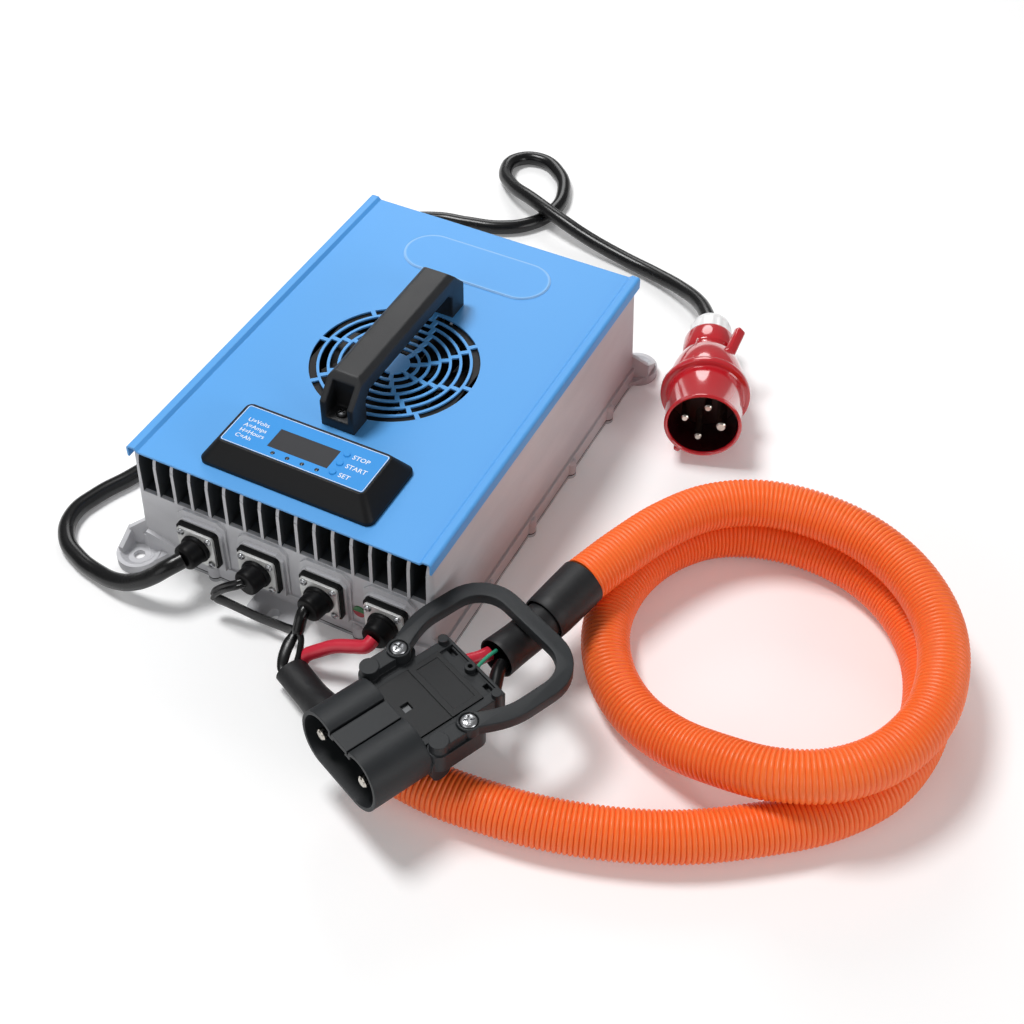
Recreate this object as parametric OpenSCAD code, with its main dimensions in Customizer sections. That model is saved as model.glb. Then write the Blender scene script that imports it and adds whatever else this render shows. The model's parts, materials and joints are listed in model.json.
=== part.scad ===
// Forklift battery charger: finned die-cast case under a folded sheet cover with a fan grille,
// carrying handle, display panel, four flanged cable connectors, a mains lead with a red
// three-phase plug and a battery lead in corrugated conduit with a grey battery connector.
// Origin on the floor at the centre of the mounting ears, connectors facing -Y. Millimetres.

/* [Case] */
// Width over the case walls at the floor
case_w = 248; // [240:1:252]
// Depth over the case walls at the floor
case_d = 341; // [330:1:360]
// Height from the floor to the tops of the fins
case_h = 103.5; // [98:0.5:125]
// Lean of the outer walls in degrees
case_draft = 2; // [0.5:0.5:3]
// Thickness of the case walls
case_wall = 4; // [3:0.5:6]
// Radius of the upright case corners
case_corner_r = 4; // [2:0.5:8]
// Height of the floor between the fins
deck_z = 63; // [58:1:68]
// Thickness of that floor
deck_t = 5; // [3:0.5:8]

/* [Fins] */
// Number of fins between the side walls
fin_count = 15; // [9:2:17]
// Thickness of a fin
fin_t = 2.6; // [1.5:0.1:4]
// Radius of the upper front and back corners of the fins
fin_corner_r = 12; // [6:1:16]

/* [Base] */
// Thickness of the base plate
base_t = 3; // [2:0.5:4]
// Thickness of the base seal
seal_t = 1; // [0.5:0.1:2]
// Height of the rim round the foot of the case
rim_h = 17; // [14:1:20]
// How far the rim stands out from the wall
rim_out = 1.4; // [0.8:0.1:2.5]
// Diameter of the screw bosses along the rim
boss_d = 11; // [10:0.5:14]
// Place of the rearmost side boss
boss_back_y = 117; // [100:1:130]
// Spacing of the side bosses
boss_pitch = 70.5; // [60:0.5:74]
// Diameter of the base screws
base_screw_d = 4; // [3:0.5:5]
// How far the ear holes sit inside the line of the case's sides
ear_in = 1.5; // [0:0.5:4]
// How far the ear holes stand out past the case's ends
ear_out = 10.5; // [8:0.5:20]
// Radius of an ear
ear_r = 16.5; // [14:0.5:18]
// Thickness of an ear
ear_t = 8; // [6:0.5:10]
// Diameter of the ear holes
ear_hole_d = 8.5; // [6:0.5:10]
// Height of the ear webs at the case
ear_web_h = 33; // [24:1:44]
// Width of the middle feet
foot_w = 44; // [36:1:56]
// Reach of the middle feet from the case wall
foot_reach = 21; // [16:1:26]

/* [Cover] */
// How much narrower the cover is than the foot of the case
cover_in_w = 3; // [0:0.5:8]
// How much shorter the cover is than the foot of the case
cover_in_d = 1; // [0:0.5:8]
// Thickness of the cover sheet
cover_t = 1.5; // [1:0.1:2]
// Height of the raised edge strips
edge_rise = 2.5; // [1.5:0.1:4]
// Width of the raised edge strips
edge_w = 7; // [5:0.5:10]
// Drop of the side lips
lip_drop = 10; // [6:0.5:14]
// Length of the pressed bead
bead_l = 126; // [90:1:150]
// Width of the pressed bead
bead_w = 46; // [30:1:60]
// Place of the pressed bead
bead_y = 126; // [110:1:135]

/* [Fan] */
// Side of the fan frame
fan_size = 120; // [110:1:124]
// Thickness of the fan
fan_t = 25; // [20:0.5:32]
// Place of the fan and its grille
fan_y = -4.5; // [-8:0.5:2]
// Spacing of the fan screws
fan_pitch = 105; // [98:0.5:110]
// Number of blades
blade_count = 7; // [5:1:11]
// Radius of the grille
grille_r = 63.8; // [56:0.1:66]
// Radius of the solid disc in the grille
grille_hub_r = 11.5; // [8:0.5:16]
// Rings of slots
grille_rings = 7; // [5:1:8]
// Slots in each ring
grille_slots = 8; // [6:1:10]
// Width of the bars between rings
grille_bar = 2.1; // [1.5:0.1:3]
// Turn of the spokes from ring to ring in degrees
grille_turn = 4.2; // [0:0.1:6]

/* [Handle] */
// Length of the handle
handle_l = 165; // [155:1:190]
// Width of the handle
handle_w = 27; // [22:1:34]
// Height of the handle
handle_h = 40; // [34:1:50]
// Thickness of the grip bar
grip_t = 15; // [11:0.5:18]
// Depth of the handle feet
handle_foot = 18; // [15:0.5:24]
// Height at which the ends start to slope
handle_shoulder = 22; // [18:1:28]
// Inward slope of the ends
handle_slope = 17; // [10:1:22]
// Diameter of the handle screws
handle_screw_d = 5; // [4:0.5:6]

/* [Display panel] */
// Width of the panel at the cover
panel_w = 139; // [130:1:150]
// Depth of the panel at the cover
panel_d = 62; // [58:1:66]
// Height of the panel
panel_h = 18; // [15:0.5:22]
// Width of the panel face
face_w = 118; // [112:1:124]
// Depth of the panel face
face_d = 42; // [40:0.5:48]
// Place of the panel
panel_y = -127; // [-132:1:-122]
// Wall of the panel housing
panel_wall = 2.5; // [2:0.1:3]
// Border round the overlay
overlay_edge = 1.8; // [1:0.1:3]
// Thickness of the overlay
overlay_t = 0.6; // [0.4:0.1:1]
// Width of the display window
window_w = 48; // [40:1:52]
// Depth of the display window
window_d = 18.5; // [14:0.5:20]
// Place of the buttons
button_x = 29.5; // [28:0.5:34]
// Spacing of the buttons
button_pitch = 9.5; // [9:0.1:11]
// Diameter of the buttons
button_d = 5; // [4:0.1:6]
// Travel of the buttons
button_travel = 0.5; // [0.3:0.1:0.8]
// Spacing of the status lamps
lamp_pitch = 11.8; // [9:0.1:13]
// Diameter of the status lamps
lamp_d = 3; // [2:0.1:4]

/* [Connectors] */
// Place of the first connector
conn_x = -66.5; // [-74:0.5:-60]
// Spacing of the connectors
conn_pitch = 51.7; // [46:0.1:54]
// Height of the connectors
conn_z = 38.5; // [36:0.5:40]
// Side of a connector plate
plate_w = 30.5; // [28:0.5:33]
// Thickness of a connector plate
plate_t = 2; // [1.5:0.1:3]
// Side of a connector gasket
gasket_w = 33.5; // [31:0.5:35]
// Thickness of a connector gasket
gasket_t = 4; // [3:0.5:6]
// Width of the outer step of a connector boss
step_w = 41; // [38:0.5:46]
// Width of the inner step of a connector boss
step_in_w = 37; // [34:0.5:38]
// Height of the outer step from the case wall
step_t = 1.8; // [1:0.1:3]
// Height of the inner step above the outer step
step_in_t = 3; // [2:0.1:5]
// Bore through a connector boss
conn_bore = 20; // [16:0.5:22]
// Diameter of the collar of a cable boot
boot_d = 23.5; // [21:0.5:25]
// Length of the collar of a cable boot
boot_l = 14; // [10:0.5:18]
// Spacing of the screws on a connector plate
conn_screw_pitch = 23.4; // [22:0.1:25]

/* [Mains plug] */
// Diameter of the plug shroud
shroud_d = 60; // [54:0.5:64]
// Diameter of the plug flange
flange_d = 71; // [66:0.5:76]
// Length of the plug shroud
shroud_l = 42; // [36:0.5:48]
// Length of the plug body behind the flange
barrel_l = 70; // [60:1:80]
// Length of the gland nut
nut_l = 17; // [12:0.5:24]
// Diameter of the circle of pins
pin_circle = 29; // [26:0.5:34]

/* [Battery connector] */
// Half width between the centres of the two shroud barrels
barrel_x = 19.3; // [17:0.1:22]
// Radius of the shroud barrels
barrel_r = 20.6; // [18:0.1:22]
// Depth of the shroud
mouth_l = 43.8; // [38:0.1:50]
// Wall of the shroud
mouth_wall = 2.6; // [2:0.1:3.5]
// Length of the rear housing
rear_l = 66; // [60:1:72]
// Half width of the rear housing
rear_x = 30; // [28:0.5:32]
// Spacing of the battery contacts
contact_pitch = 45; // [40:0.5:46]
// Width of the handle bar
bail_w = 11.6; // [9:0.1:13]
// Thickness of the handle bar
bail_t = 8.6; // [7:0.1:12]
// Reach of the handle behind its screws
bail_reach = 82.4; // [76:0.1:95]
// Half width of the handle loop
bail_x = 49.3; // [46:0.1:54]

/* [Leads] */
// Diameter of the mains cord
cord_d = 12.8; // [10:0.1:14]
// Outer diameter of the corrugated conduit
conduit_d = 34.5; // [30:0.5:36]
// Diameter of the battery cables
cable_d = 10; // [8:0.5:11]
// Diameter of the signal cable
signal_d = 8; // [6:0.5:9]
// Diameter of the pilot wire
pilot_d = 2.6; // [2:0.1:3]

/* [Hidden] */
$fn = 48;
clear = 0.2;
eps = 0.02;
big = 500;

// Derived sizes of the case
case_z = base_t + seal_t;
function half_w(z) = case_w / 2 - z * tan(case_draft);
function half_d(z) = case_d / 2 - z * tan(case_draft);
fin_span = 2 * (half_w(case_h) - case_wall);
fin_gap = (fin_span - fin_count * fin_t) / (fin_count + 1);
ear_x = case_w / 2 - ear_in;
ear_y = case_d / 2 + ear_out;
rim_w = case_w + 2 * rim_out;
rim_d = case_d + 2 * rim_out;
boss_x = rim_w / 2 - 2;
boss_h = rim_h - 1;
boss_rows = [for (i = [0:3]) boss_back_y - i * boss_pitch];

// Derived sizes of the cover, fan, handle and panel
cover_w = case_w - cover_in_w;
cover_d = case_d - cover_in_d;
cover_z = case_h + cover_t;
fan_z = case_h - fan_t - 0.5;
fan_bore = fan_size - 6;
rotor_hub_r = 20;
rotor_r = fan_bore / 2 - 2;
shaft_d = 4;
grille_pitch = (grille_r - grille_hub_r + grille_bar) / grille_rings;
spoke_w = 3.4;
handle_y = fan_y + 1.5;
handle_top = cover_z + handle_h;
handle_floor = 9;
handle_screw_y = handle_l / 2 - 7.5;
face_z = cover_z + panel_h;
board_t = 1.6;
board_z = face_z - 10;
overlay_w = face_w - 2 * overlay_edge;
overlay_d = face_d - 2 * overlay_edge;
window_y = panel_y - 1;
lamp_y = panel_y - face_d / 2 + 6.5;
key_h = 2.4;

// Derived planes of the front connectors
step_y = half_d(conn_z) + step_t;
step_in_y = step_y + step_in_t;
gasket_y = step_in_y + gasket_t;
plate_y = gasket_y + plate_t;
boot_lean = [12, 10, 8, 0];
collar_l = 4;
boot_run = boot_l - collar_l;
function boot_end(i) = [conn_at(i) - boot_run * sin(boot_lean[i]),
    -plate_y - collar_l - boot_run * cos(boot_lean[i]), conn_z];
function conn_at(i) = conn_x + i * conn_pitch;

// Electronics inside
main_board_z = 16;
main_board_w = case_w - 58;
main_board_d = case_d - 71;
core_at = [-30, -40];
core_leg = 20;
core_w = 3.2 * core_leg;
core_h = deck_z - deck_t - main_board_z - 7;
capacitor_d = 34;
capacitor_h = core_h + 4;
choke_at = [50, 80];
dot_d = 10;
dot_z = 28;

// Placement of the mains plug and the battery connector
plug_turn = 18.5;
plug_pitch = 5;
plug_axis = [-sin(plug_turn) * cos(plug_pitch), cos(plug_turn) * cos(plug_pitch), -sin(plug_pitch)];
plug_at = [208.5, 104.5, flange_d / 2 + shroud_l * sin(plug_pitch) + 0.6];
plug_end = plug_at + plug_axis * (shroud_l + barrel_l + nut_l + 8);
din_at = [156.5, -231, 56.4];
din_turn = -24;
lug_x = 37;
lug_top = 9.2;
knob_y = 23.5;
barrel_drop = 0.6;
rim_slant = 7.2;
ring_y = rear_l - 36;
head_sink = 2;

// Routes of the leads, points chosen along the floor and up to their glands
mains_route = [
    boot_end(0), [-75.5, -204, 36], [-85, -210, 28.5], [-99, -214, 19], [-116, -215, 11.5],
    [-136, -212, 7.2], [-158, -206.5, 6.6], [-179, -194.5, 6.6], [-190, -173, 6.6], [-186, -147, 6.6],
    [-175, -120, 6.6], [-165, -86, 6.6], [-160, -40, 6.6], [-158, 15, 6.6], [-159, 75, 6.6],
    [-163, 135, 6.6], [-169, 190, 6.6], [-168, 235, 6.6], [-153, 268, 6.6], [-127, 286, 6.6],
    [-97, 293, 6.6], [-69, 301, 6.6], [-47, 318, 6.6], [-36, 346, 6.6], [-40, 378, 6.6],
    [-58, 405, 6.6], [-84, 417, 6.6], [-104, 405, 7], [-103, 381, 9], [-84, 357, 14],
    [-54, 338, 19.8], [-20, 324, 18.5], [16, 315, 13], [54, 308, 9], [90, 299, 9.5],
    [120, 285, 14], [142, 267, 20.5], [155, 250, 25], plug_end];
signal_route = [
    boot_end(1), [-21, -200.5, 36.5], [-28, -202.5, 32], [-36.5, -203, 25], [-40, -202.5, 17],
    [-34, -199.5, 13.5], [-22, -197.5, 12.5], [-2, -196.5, 12.5], [17, -196, 13.5], [29, -200, 15],
    [31.5, -210, 16], [31, -219, 14.5], [34.5, -226.5, 12]];
negative_route = [
    boot_end(2), [33, -199, 35.5], [34, -206, 29], [36.5, -211.5, 24],
    [39.5, -216, 20.5], [41.5, -219.5, 18.5], [43.5, -222.5, 17]];
negative_r = [0.5, 0.5, 0.5, 0.46, 0.34, 0.3, 0.3];
positive_route = [
    boot_end(3), [86.5, -199.5, 36], [77, -201.5, 32.5], [64, -204, 28], [53, -208.5, 22],
    [44, -212.5, 15.5], [42, -217, 10.5], [44.5, -221.2, 9]];
front_sleeve_route = [
    [39.5, -225, 11.2], [60, -235.5, 12], [84, -247, 14], [108, -256.5, 16.3], [131, -263, 17.6]];
front_sleeve_r = [10.8, 11, 13, 15.5, 17.2];
conduit_route = [
    [131, -263, 17.6], [156, -266.5, 17.6], [181, -267.5, 17.6], [209, -265, 17.6], [246, -259, 17.6],
    [290, -246, 17.6], [332, -227, 17.6], [372, -200, 17.6], [406, -171, 17.6], [431, -135, 17.6],
    [441, -95, 17.6], [438, -54, 17.6], [424, -17, 17.6], [396, 17, 17.6], [360, 37, 17.6],
    [320, 43, 17.6], [281, 36, 17.6], [249, 18, 17.6], [226, -13, 17.6], [215, -53, 17.6],
    [219, -95, 17.6], [238, -130, 17.6], [266, -154, 19], [299, -168, 25], [334, -176, 37],
    [369, -178, 48], [403, -165, 53], [429, -136, 53], [443, -96, 53], [441, -55, 53],
    [427, -17, 53], [398, 16, 53], [361, 36, 53], [320, 42, 53], [281, 35, 53], [249, 14, 53],
    [227, -17, 53], [211, -54, 53], [198, -93, 53.5]];
rear_sleeve_route = [
    [198, -93, 53.5], [193.5, -111.5, 51.8], [189.6, -127.5, 50.4], [189.1, -129.5, 50.3], [184, -147, 49],
    [174.5, -178, 50]];
rear_sleeve_r = [17.4, 17.2, 16.8, 13.3, 13.2, 13];
positive_tail_route = [[168.8, -176.2, 50.5], [165, -183, 51], [159.5, -190, 52], [154.5, -197, 52.5]];
negative_tail_route = [[180.2, -179.8, 50.5], [180.8, -187, 50.5], [184, -198, 51.5], [187.6, -208.5, 52.5]];
pilot_route = [[174.6, -177.7, 58.5], [172.8, -185, 60], [171.2, -193, 60.5], [170.2, -201.5, 60]];

// Plane shapes

module round_rect(w, d, r) {
    square([w - 2 * r, d], center = true);
    square([w, d - 2 * r], center = true);
    for (sx = [-1, 1], sy = [-1, 1])
        translate([sx * (w / 2 - r), sy * (d / 2 - r)]) circle(r);
}

// Bar with round ends from p to q
module bar(p, q, w) {
    run = norm(q - p);
    translate(p) rotate(atan2(q[1] - p[1], q[0] - p[0])) translate([0, -w / 2]) square([run, w]);
    translate(p) circle(w / 2);
    translate(q) circle(w / 2);
}

// Strip of even width along a plane path
function beside(p, i, d) = let (t = along(p, i)) p[i] + d * [t[1], -t[0]];
module strip(p, w) {
    last = len(p) - 1;
    polygon(concat([for (i = [0:last]) beside(p, i, w / 2)], [for (i = [last:-1:0]) beside(p, i, -w / 2)]));
}

module stadium(l, w) {
    bar([-(l - w) / 2, 0], [(l - w) / 2, 0], w);
}

// Square with its two upper corners cut off, standing on low
module shouldered(w, low, high, cut) {
    polygon([[-w / 2, low], [w / 2, low], [w / 2, high - cut], [w / 2 - cut, high],
        [-w / 2 + cut, high], [-w / 2, high - cut]]);
}

// Sector from angle a to angle b, wide enough to cut a ring of radius r
module sector(r, a, b) {
    m = (a + b) / 2;
    polygon([[0, 0], 2 * r * [cos(a), sin(a)], 2 * r * [cos(m), sin(m)], 2 * r * [cos(b), sin(b)]]);
}

// Turns a plane shape upright and pushes it forward from depth y by t
module forward(y, t) {
    translate([0, -y, 0]) rotate([90, 0, 0]) linear_extrude(t) children();
}

module four_corners(x, y) {
    for (sx = [-1, 1], sy = [-1, 1]) translate([sx * x, sy * y, 0]) children();
}

// Tube swept along a route, one radius per point
function along(p, i) = let (v = p[min(i + 1, len(p) - 1)] - p[max(i - 1, 0)]) v / norm(v);
function ring_at(p, i, r, n) = let (
    t = along(p, i), s0 = cross(t, [0, 0, 1]), s = s0 / norm(s0), u = cross(s, t))
    [for (k = [0:n - 1]) p[i] + r * (cos(360 * k / n) * s + sin(360 * k / n) * u)];
module sweep(p, radii, n) {
    last = len(p) - 1;
    points = [for (i = [0:last]) each ring_at(p, i, radii[i], n)];
    walls = [for (i = [0:last - 1], k = [0:n - 1]) let (a = i * n + k, b = i * n + (k + 1) % n)
        each [[a, b, b + n], [a, b + n, a + n]]];
    first_cap = [[for (k = [n - 1:-1:0]) k]];
    last_cap = [[for (k = [0:n - 1]) last * n + k]];
    polyhedron(points, concat(walls, first_cap, last_cap), convexity = 6);
}
function even(p, r) = [for (q = p) r];

// Drafted block with round upright corners, shrunk by inset
module case_block(z0, z1, inset) {
    r = max(case_corner_r - inset, 1);
    hull() for (z = [z0, z1 - eps], sx = [-1, 1], sy = [-1, 1])
        translate([sx * (half_w(z) - inset - r), sy * (half_d(z) - inset - r), z])
            cylinder(r = r, h = eps, $fn = 32);
}

module boss_places() {
    for (sx = [-1, 1], y = boss_rows) translate([sx * boss_x, y, 0]) children();
    for (sy = [-1, 1], sx = [-1, 1])
        translate([sx * (conn_pitch + 10), sy * (rim_d / 2 - 2), 0]) children();
}

// Upright web from p to q, hp high at p and hq high at q
module web(p, q, hp, hq, t) {
    translate([p[0], p[1], case_z]) rotate([90, 0, atan2(q[1] - p[1], q[0] - p[0])])
        translate([0, 0, -t / 2]) linear_extrude(t)
            polygon([[0, 0], [norm(q - p), 0], [norm(q - p), hq - case_z], [0, hp - case_z]]);
}

// Ear of the back right corner, turned to the others by mirroring
module ear() {
    difference() {
        union() {
            translate([ear_x, ear_y, 0]) cylinder(r = ear_r, h = ear_t);
            translate([0, 0, case_z]) linear_extrude(ear_t - 0.4 - case_z) polygon([
                [half_w(0) - 26, half_d(0) - 4], [half_w(0) - 4, half_d(0) - 24],
                [ear_x + ear_r * 0.95, ear_y - ear_r * 0.2], [ear_x + 2, ear_y + 2],
                [ear_x - ear_r * 0.75, ear_y + ear_r * 0.6]]);
        }
        translate([ear_x, ear_y, ear_t - 4]) cylinder(r1 = ear_r - 8, r2 = ear_r - 3, h = 4 + eps);
        translate([0, 0, ear_t - 3]) linear_extrude(10) polygon([
            [half_w(0) - 20, half_d(0) - 10], [half_w(0) - 10, half_d(0) - 18],
            [ear_x + 9, ear_y - 7], [ear_x, ear_y], [ear_x - 10, ear_y + 4]]);
    }
    web([half_w(0) - 6, half_d(0) - 5], [ear_x + 12, ear_y - 8.5], ear_web_h, 20.6, 4);
    web([ear_x + 11.5, ear_y - 10], [ear_x + 11.5, ear_y + 6], 21, ear_t + 3.5, 4);
    web([half_w(0) - 5, half_d(0) - 1.5], [half_w(0) - 36, half_d(0) - 1.5], 23, 16.5, 8);
}

// Foot in the middle of the back, with an open slot
module middle_foot() {
    difference() {
        union() {
            translate([0, half_d(0) + foot_reach / 2 - 6, case_z]) linear_extrude(ear_t - case_z)
                round_rect(foot_w, foot_reach + 12, 5);
            translate([0, half_d(0) + foot_reach / 2 + rim_out, 0]) linear_extrude(ear_t)
                square([foot_w - 12, foot_reach - 2 * rim_out - 2], center = true);
        }
        translate([0, half_d(0) + foot_reach - 6, -1]) linear_extrude(big)
            bar([0, 0], [0, 20], ear_hole_d);
    }
}

module case_casting() {
    difference() {
        union() {
            case_block(case_z, case_h, 0);
            translate([0, 0, case_z]) linear_extrude(rim_h - case_z) round_rect(rim_w, rim_d, case_corner_r);
            boss_places() translate([0, 0, case_z]) {
                cylinder(d = boss_d, h = boss_h - case_z - 2);
                translate([0, 0, boss_h - case_z - 2]) cylinder(d1 = boss_d, d2 = boss_d - 4, h = 2);
            }
            for (i = [0:3]) translate([conn_at(i), 0, 0]) {
                forward(half_d(0) - 12, step_y - half_d(0) + 12)
                    shouldered(step_w, rim_h - 5, deck_z - 0.5, 6);
                forward(step_y - 1, step_in_t + 1)
                    shouldered(step_in_w, rim_h - 0.5, conn_z + step_in_w / 2, 5);
            }
            for (mx = [0, 1], my = [0, 1]) mirror([mx, 0, 0]) mirror([0, my, 0]) ear();
            for (my = [0, 1]) mirror([0, my, 0]) middle_foot();
        }
        translate([0, 0, 0]) case_block(case_z - 1, deck_z - deck_t, case_wall);
        for (i = [0:fin_count])
            translate([-fin_span / 2 + i * (fin_gap + fin_t), -big / 2, deck_z]) cube([fin_gap, big, big]);
        for (my = [0, 1]) mirror([0, my, 0]) fin_corner_cut();
        translate([-fan_size / 2 - 1, fan_y - fan_size / 2 - 1, fan_z]) cube([fan_size + 2, fan_size + 2, big]);
        four_corners(ear_x, ear_y) translate([0, 0, -1]) cylinder(d = ear_hole_d, h = big);
        boss_places() cylinder(d = base_screw_d, h = boss_h - 2);
        for (i = [0:3]) translate([conn_at(i), 0, conn_z]) {
            forward(half_d(0) - 30, 60) circle(d = conn_bore);
            for (sx = [-1, 1], sz = [-1, 1]) translate([sx, 0, sz] * conn_screw_pitch / 2)
                forward(step_in_y - 9, 10) circle(d = 3);
        }
        status_dot_place() cylinder(d = dot_d + clear, h = 2);
    }
}

module fin_corner_cut() {
    y = half_d(case_h) - fin_corner_r;
    z = case_h - fin_corner_r;
    translate([-big / 2, 0, 0]) rotate([90, 0, 90]) linear_extrude(big) difference() {
        translate([y, z]) square(big);
        translate([y, z]) circle(fin_corner_r);
    }
}

module status_dot_place() {
    translate([(conn_at(2) + conn_at(3)) / 2, -half_d(dot_z) - 0.9, dot_z])
        rotate([-90 - case_draft, 0, 0]) children();
}

module handle_screw_places() {
    for (sy = [-1, 1]) translate([0, handle_y + sy * handle_screw_y, 0]) children();
}

module fan_screw_places() {
    translate([0, fan_y, 0]) four_corners(fan_pitch / 2, fan_pitch / 2) children();
}

module case() {
    color([0.62, 0.62, 0.64]) difference() {
        union() {
            case_casting();
            handle_screw_places() translate([0, 0, deck_z - 1]) cylinder(d = 12, h = case_h - deck_z + 1);
            fan_screw_places() translate([0, 0, deck_z - 1]) cylinder(d = 9, h = fan_z - deck_z + 1);
        }
        handle_screw_places() translate([0, 0, case_h - 20]) cylinder(d = handle_screw_d, h = 30);
        fan_screw_places() translate([0, 0, fan_z - 8]) cylinder(d = 4, h = 20);
    }
}

module base_outline(gap) {
    difference() {
        union() {
            round_rect(rim_w, rim_d, case_corner_r);
            boss_places() circle(d = boss_d);
        }
        four_corners(ear_x, ear_y) circle(ear_r + gap);
        translate([0, rim_d / 2]) square([foot_w - 12 + 2 * gap, 2 * gap], center = true);
        translate([0, -rim_d / 2]) square([foot_w - 12 + 2 * gap, 2 * gap], center = true);
    }
}

module board_posts() {
    four_corners(main_board_w / 2 - 13, main_board_d / 2 - 17) children();
}

module base_plate() {
    color([0.55, 0.55, 0.57]) difference() {
        union() {
            linear_extrude(base_t) base_outline(0.4);
            board_posts() cylinder(d = 8, h = main_board_z);
        }
        boss_places() {
            translate([0, 0, -1]) cylinder(d = base_screw_d + 0.5, h = 10);
            translate([0, 0, -eps]) cylinder(d1 = 2 * base_screw_d + 0.6, d2 = base_screw_d + 0.5, h = 2);
        }
    }
}

module base_gasket() {
    color([0.1, 0.1, 0.1]) translate([0, 0, base_t]) linear_extrude(seal_t) difference() {
        base_outline(0.4);
        square([2 * half_w(0) - 2 * case_wall - 6, 2 * half_d(0) - 2 * case_wall - 6], center = true);
        boss_places() circle(d = base_screw_d + 0.5);
    }
}

module base_screws() {
    color([0.7, 0.7, 0.72]) boss_places() {
        translate([0, 0, 0.1]) cylinder(d1 = 2 * base_screw_d, d2 = base_screw_d, h = 1.8);
        translate([0, 0, 0.1]) cylinder(d = base_screw_d, h = boss_h - 3.5);
    }
}

// Half section of the folded sheet, its inner face sheet thickness below
module cover_edge() {
    x3 = cover_w / 2;
    x2 = x3 - edge_w;
    x1 = x2 - edge_rise;
    top = edge_rise;
    difference() {
        polygon(concat([[0, 0], [x1, 0], [x2, top]],
            [for (a = [90:-15:0]) [x3 - 2.5 + 2.5 * cos(a), top - 2.5 + 2.5 * sin(a)]],
            [[x3, top - lip_drop], [0, top - lip_drop]]));
        polygon(concat([[-1, -cover_t], [x1 + 0.6, -cover_t], [x2 + 0.6, top - cover_t]],
            [for (a = [90:-30:0]) [x3 - 2.5 + (2.5 - cover_t) * cos(a), top - 2.5 + (2.5 - cover_t) * sin(a)]],
            [[x3 - cover_t, -big], [-1, -big]]));
    }
}

module grille_slot_ring(k) {
    outer = grille_r - k * grille_pitch;
    inner = outer - grille_pitch + grille_bar;
    mid = (outer + inner) / 2;
    span = 360 / grille_slots;
    gap = asin(min(0.9, spoke_w * (k == grille_rings - 1 ? 0.9 : 1) / 2 / mid));
    for (s = [0:grille_slots - 1]) {
        a = s * span - k * grille_turn + gap;
        b = (s + 1) * span - k * grille_turn - gap;
        intersection() {
            difference() {
                circle(outer);
                circle(inner);
            }
            sector(outer, a, b);
        }
    }
}

module top_cover() {
    color([0.33, 0.62, 0.93]) difference() {
        union() {
            translate([0, cover_d / 2, cover_z]) rotate([90, 0, 0]) linear_extrude(cover_d)
                for (m = [0, 1]) mirror([m, 0]) cover_edge();
            translate([0, bead_y, cover_z - eps]) linear_extrude(0.5) stadium(bead_l, bead_w);
            translate([0, bead_y, cover_z - eps]) linear_extrude(1) stadium(bead_l - 1.6, bead_w - 1.6);
        }
        translate([0, fan_y, 0]) linear_extrude(big) for (k = [0:grille_rings - 1]) grille_slot_ring(k);
        for (sy = [-1, 1]) translate([0, handle_y + sy * handle_screw_y, 0])
            cylinder(d = handle_screw_d + 0.6, h = big);
        translate([0, panel_y, 0]) linear_extrude(big) stadium(50, 14);
    }
}

module fan_frame() {
    color([0.08, 0.08, 0.08]) translate([0, fan_y, fan_z]) {
        difference() {
            linear_extrude(fan_t) round_rect(fan_size, fan_size, 6);
            translate([0, 0, -1]) cylinder(d = fan_bore, h = fan_t + 2, $fn = 96);
            translate([0, 0, 4]) linear_extrude(fan_t - 8) difference() {
                square(fan_size + 2, center = true);
                circle(d = fan_size - 2, $fn = 96);
            }
            four_corners(fan_pitch / 2, fan_pitch / 2) translate([0, 0, -1]) cylinder(d = 4.5, h = fan_t + 2);
        }
        difference() {
            union() {
                cylinder(r = rotor_hub_r, h = 3);
                cylinder(d = shaft_d + 6, h = 14);
                linear_extrude(3) for (a = [45:120:360]) rotate(a) translate([0, -3]) square([fan_bore / 2 + 1, 6]);
            }
            translate([0, 0, -1]) cylinder(d = shaft_d + 0.16, h = 20);
        }
    }
}

module fan_blade() {
    intersection() {
        translate([rotor_hub_r / 2, 0, 13]) rotate([36, 0, 0]) translate([0, -10, -0.9]) cube([rotor_r, 20, 1.8]);
        difference() {
            translate([0, 0, 5]) cylinder(r = rotor_r, h = 16);
            translate([0, 0, 4]) cylinder(r = rotor_hub_r - 1, h = 18);
        }
    }
}

module fan_rotor() {
    color([0.1, 0.1, 0.1]) translate([0, fan_y, fan_z]) {
        rotate_extrude() polygon([[0, 24], [rotor_hub_r - 2, 24], [rotor_hub_r, 22], [rotor_hub_r, 4.5],
            [rotor_hub_r - 1.5, 4.5], [rotor_hub_r - 1.5, 22], [shaft_d / 2, 22], [shaft_d / 2, 1], [0, 1]]);
        for (b = [0:blade_count - 1]) rotate(b * 360 / blade_count) fan_blade();
    }
}

module fan_screws() {
    color([0.7, 0.7, 0.72]) translate([0, fan_y, fan_z]) four_corners(fan_pitch / 2, fan_pitch / 2) {
        translate([0, 0, -6]) cylinder(d = 4, h = 10);
        translate([0, 0, 4]) cylinder(d = 7, h = 2.6);
    }
}

// Side view of the handle, y to the right, z up from the cover
module handle_side() {
    half = handle_l / 2;
    difference() {
        polygon([[-half, 0], [half, 0], [half, handle_shoulder], [half - handle_slope, handle_h],
            [-half + handle_slope, handle_h], [-half, handle_shoulder]]);
        polygon([[-half + handle_foot, -1], [half - handle_foot, -1],
            [half - handle_foot, handle_h - grip_t - 6], [half - handle_foot - 6, handle_h - grip_t],
            [-half + handle_foot + 6, handle_h - grip_t], [-half + handle_foot, handle_h - grip_t - 6]]);
    }
}

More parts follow.
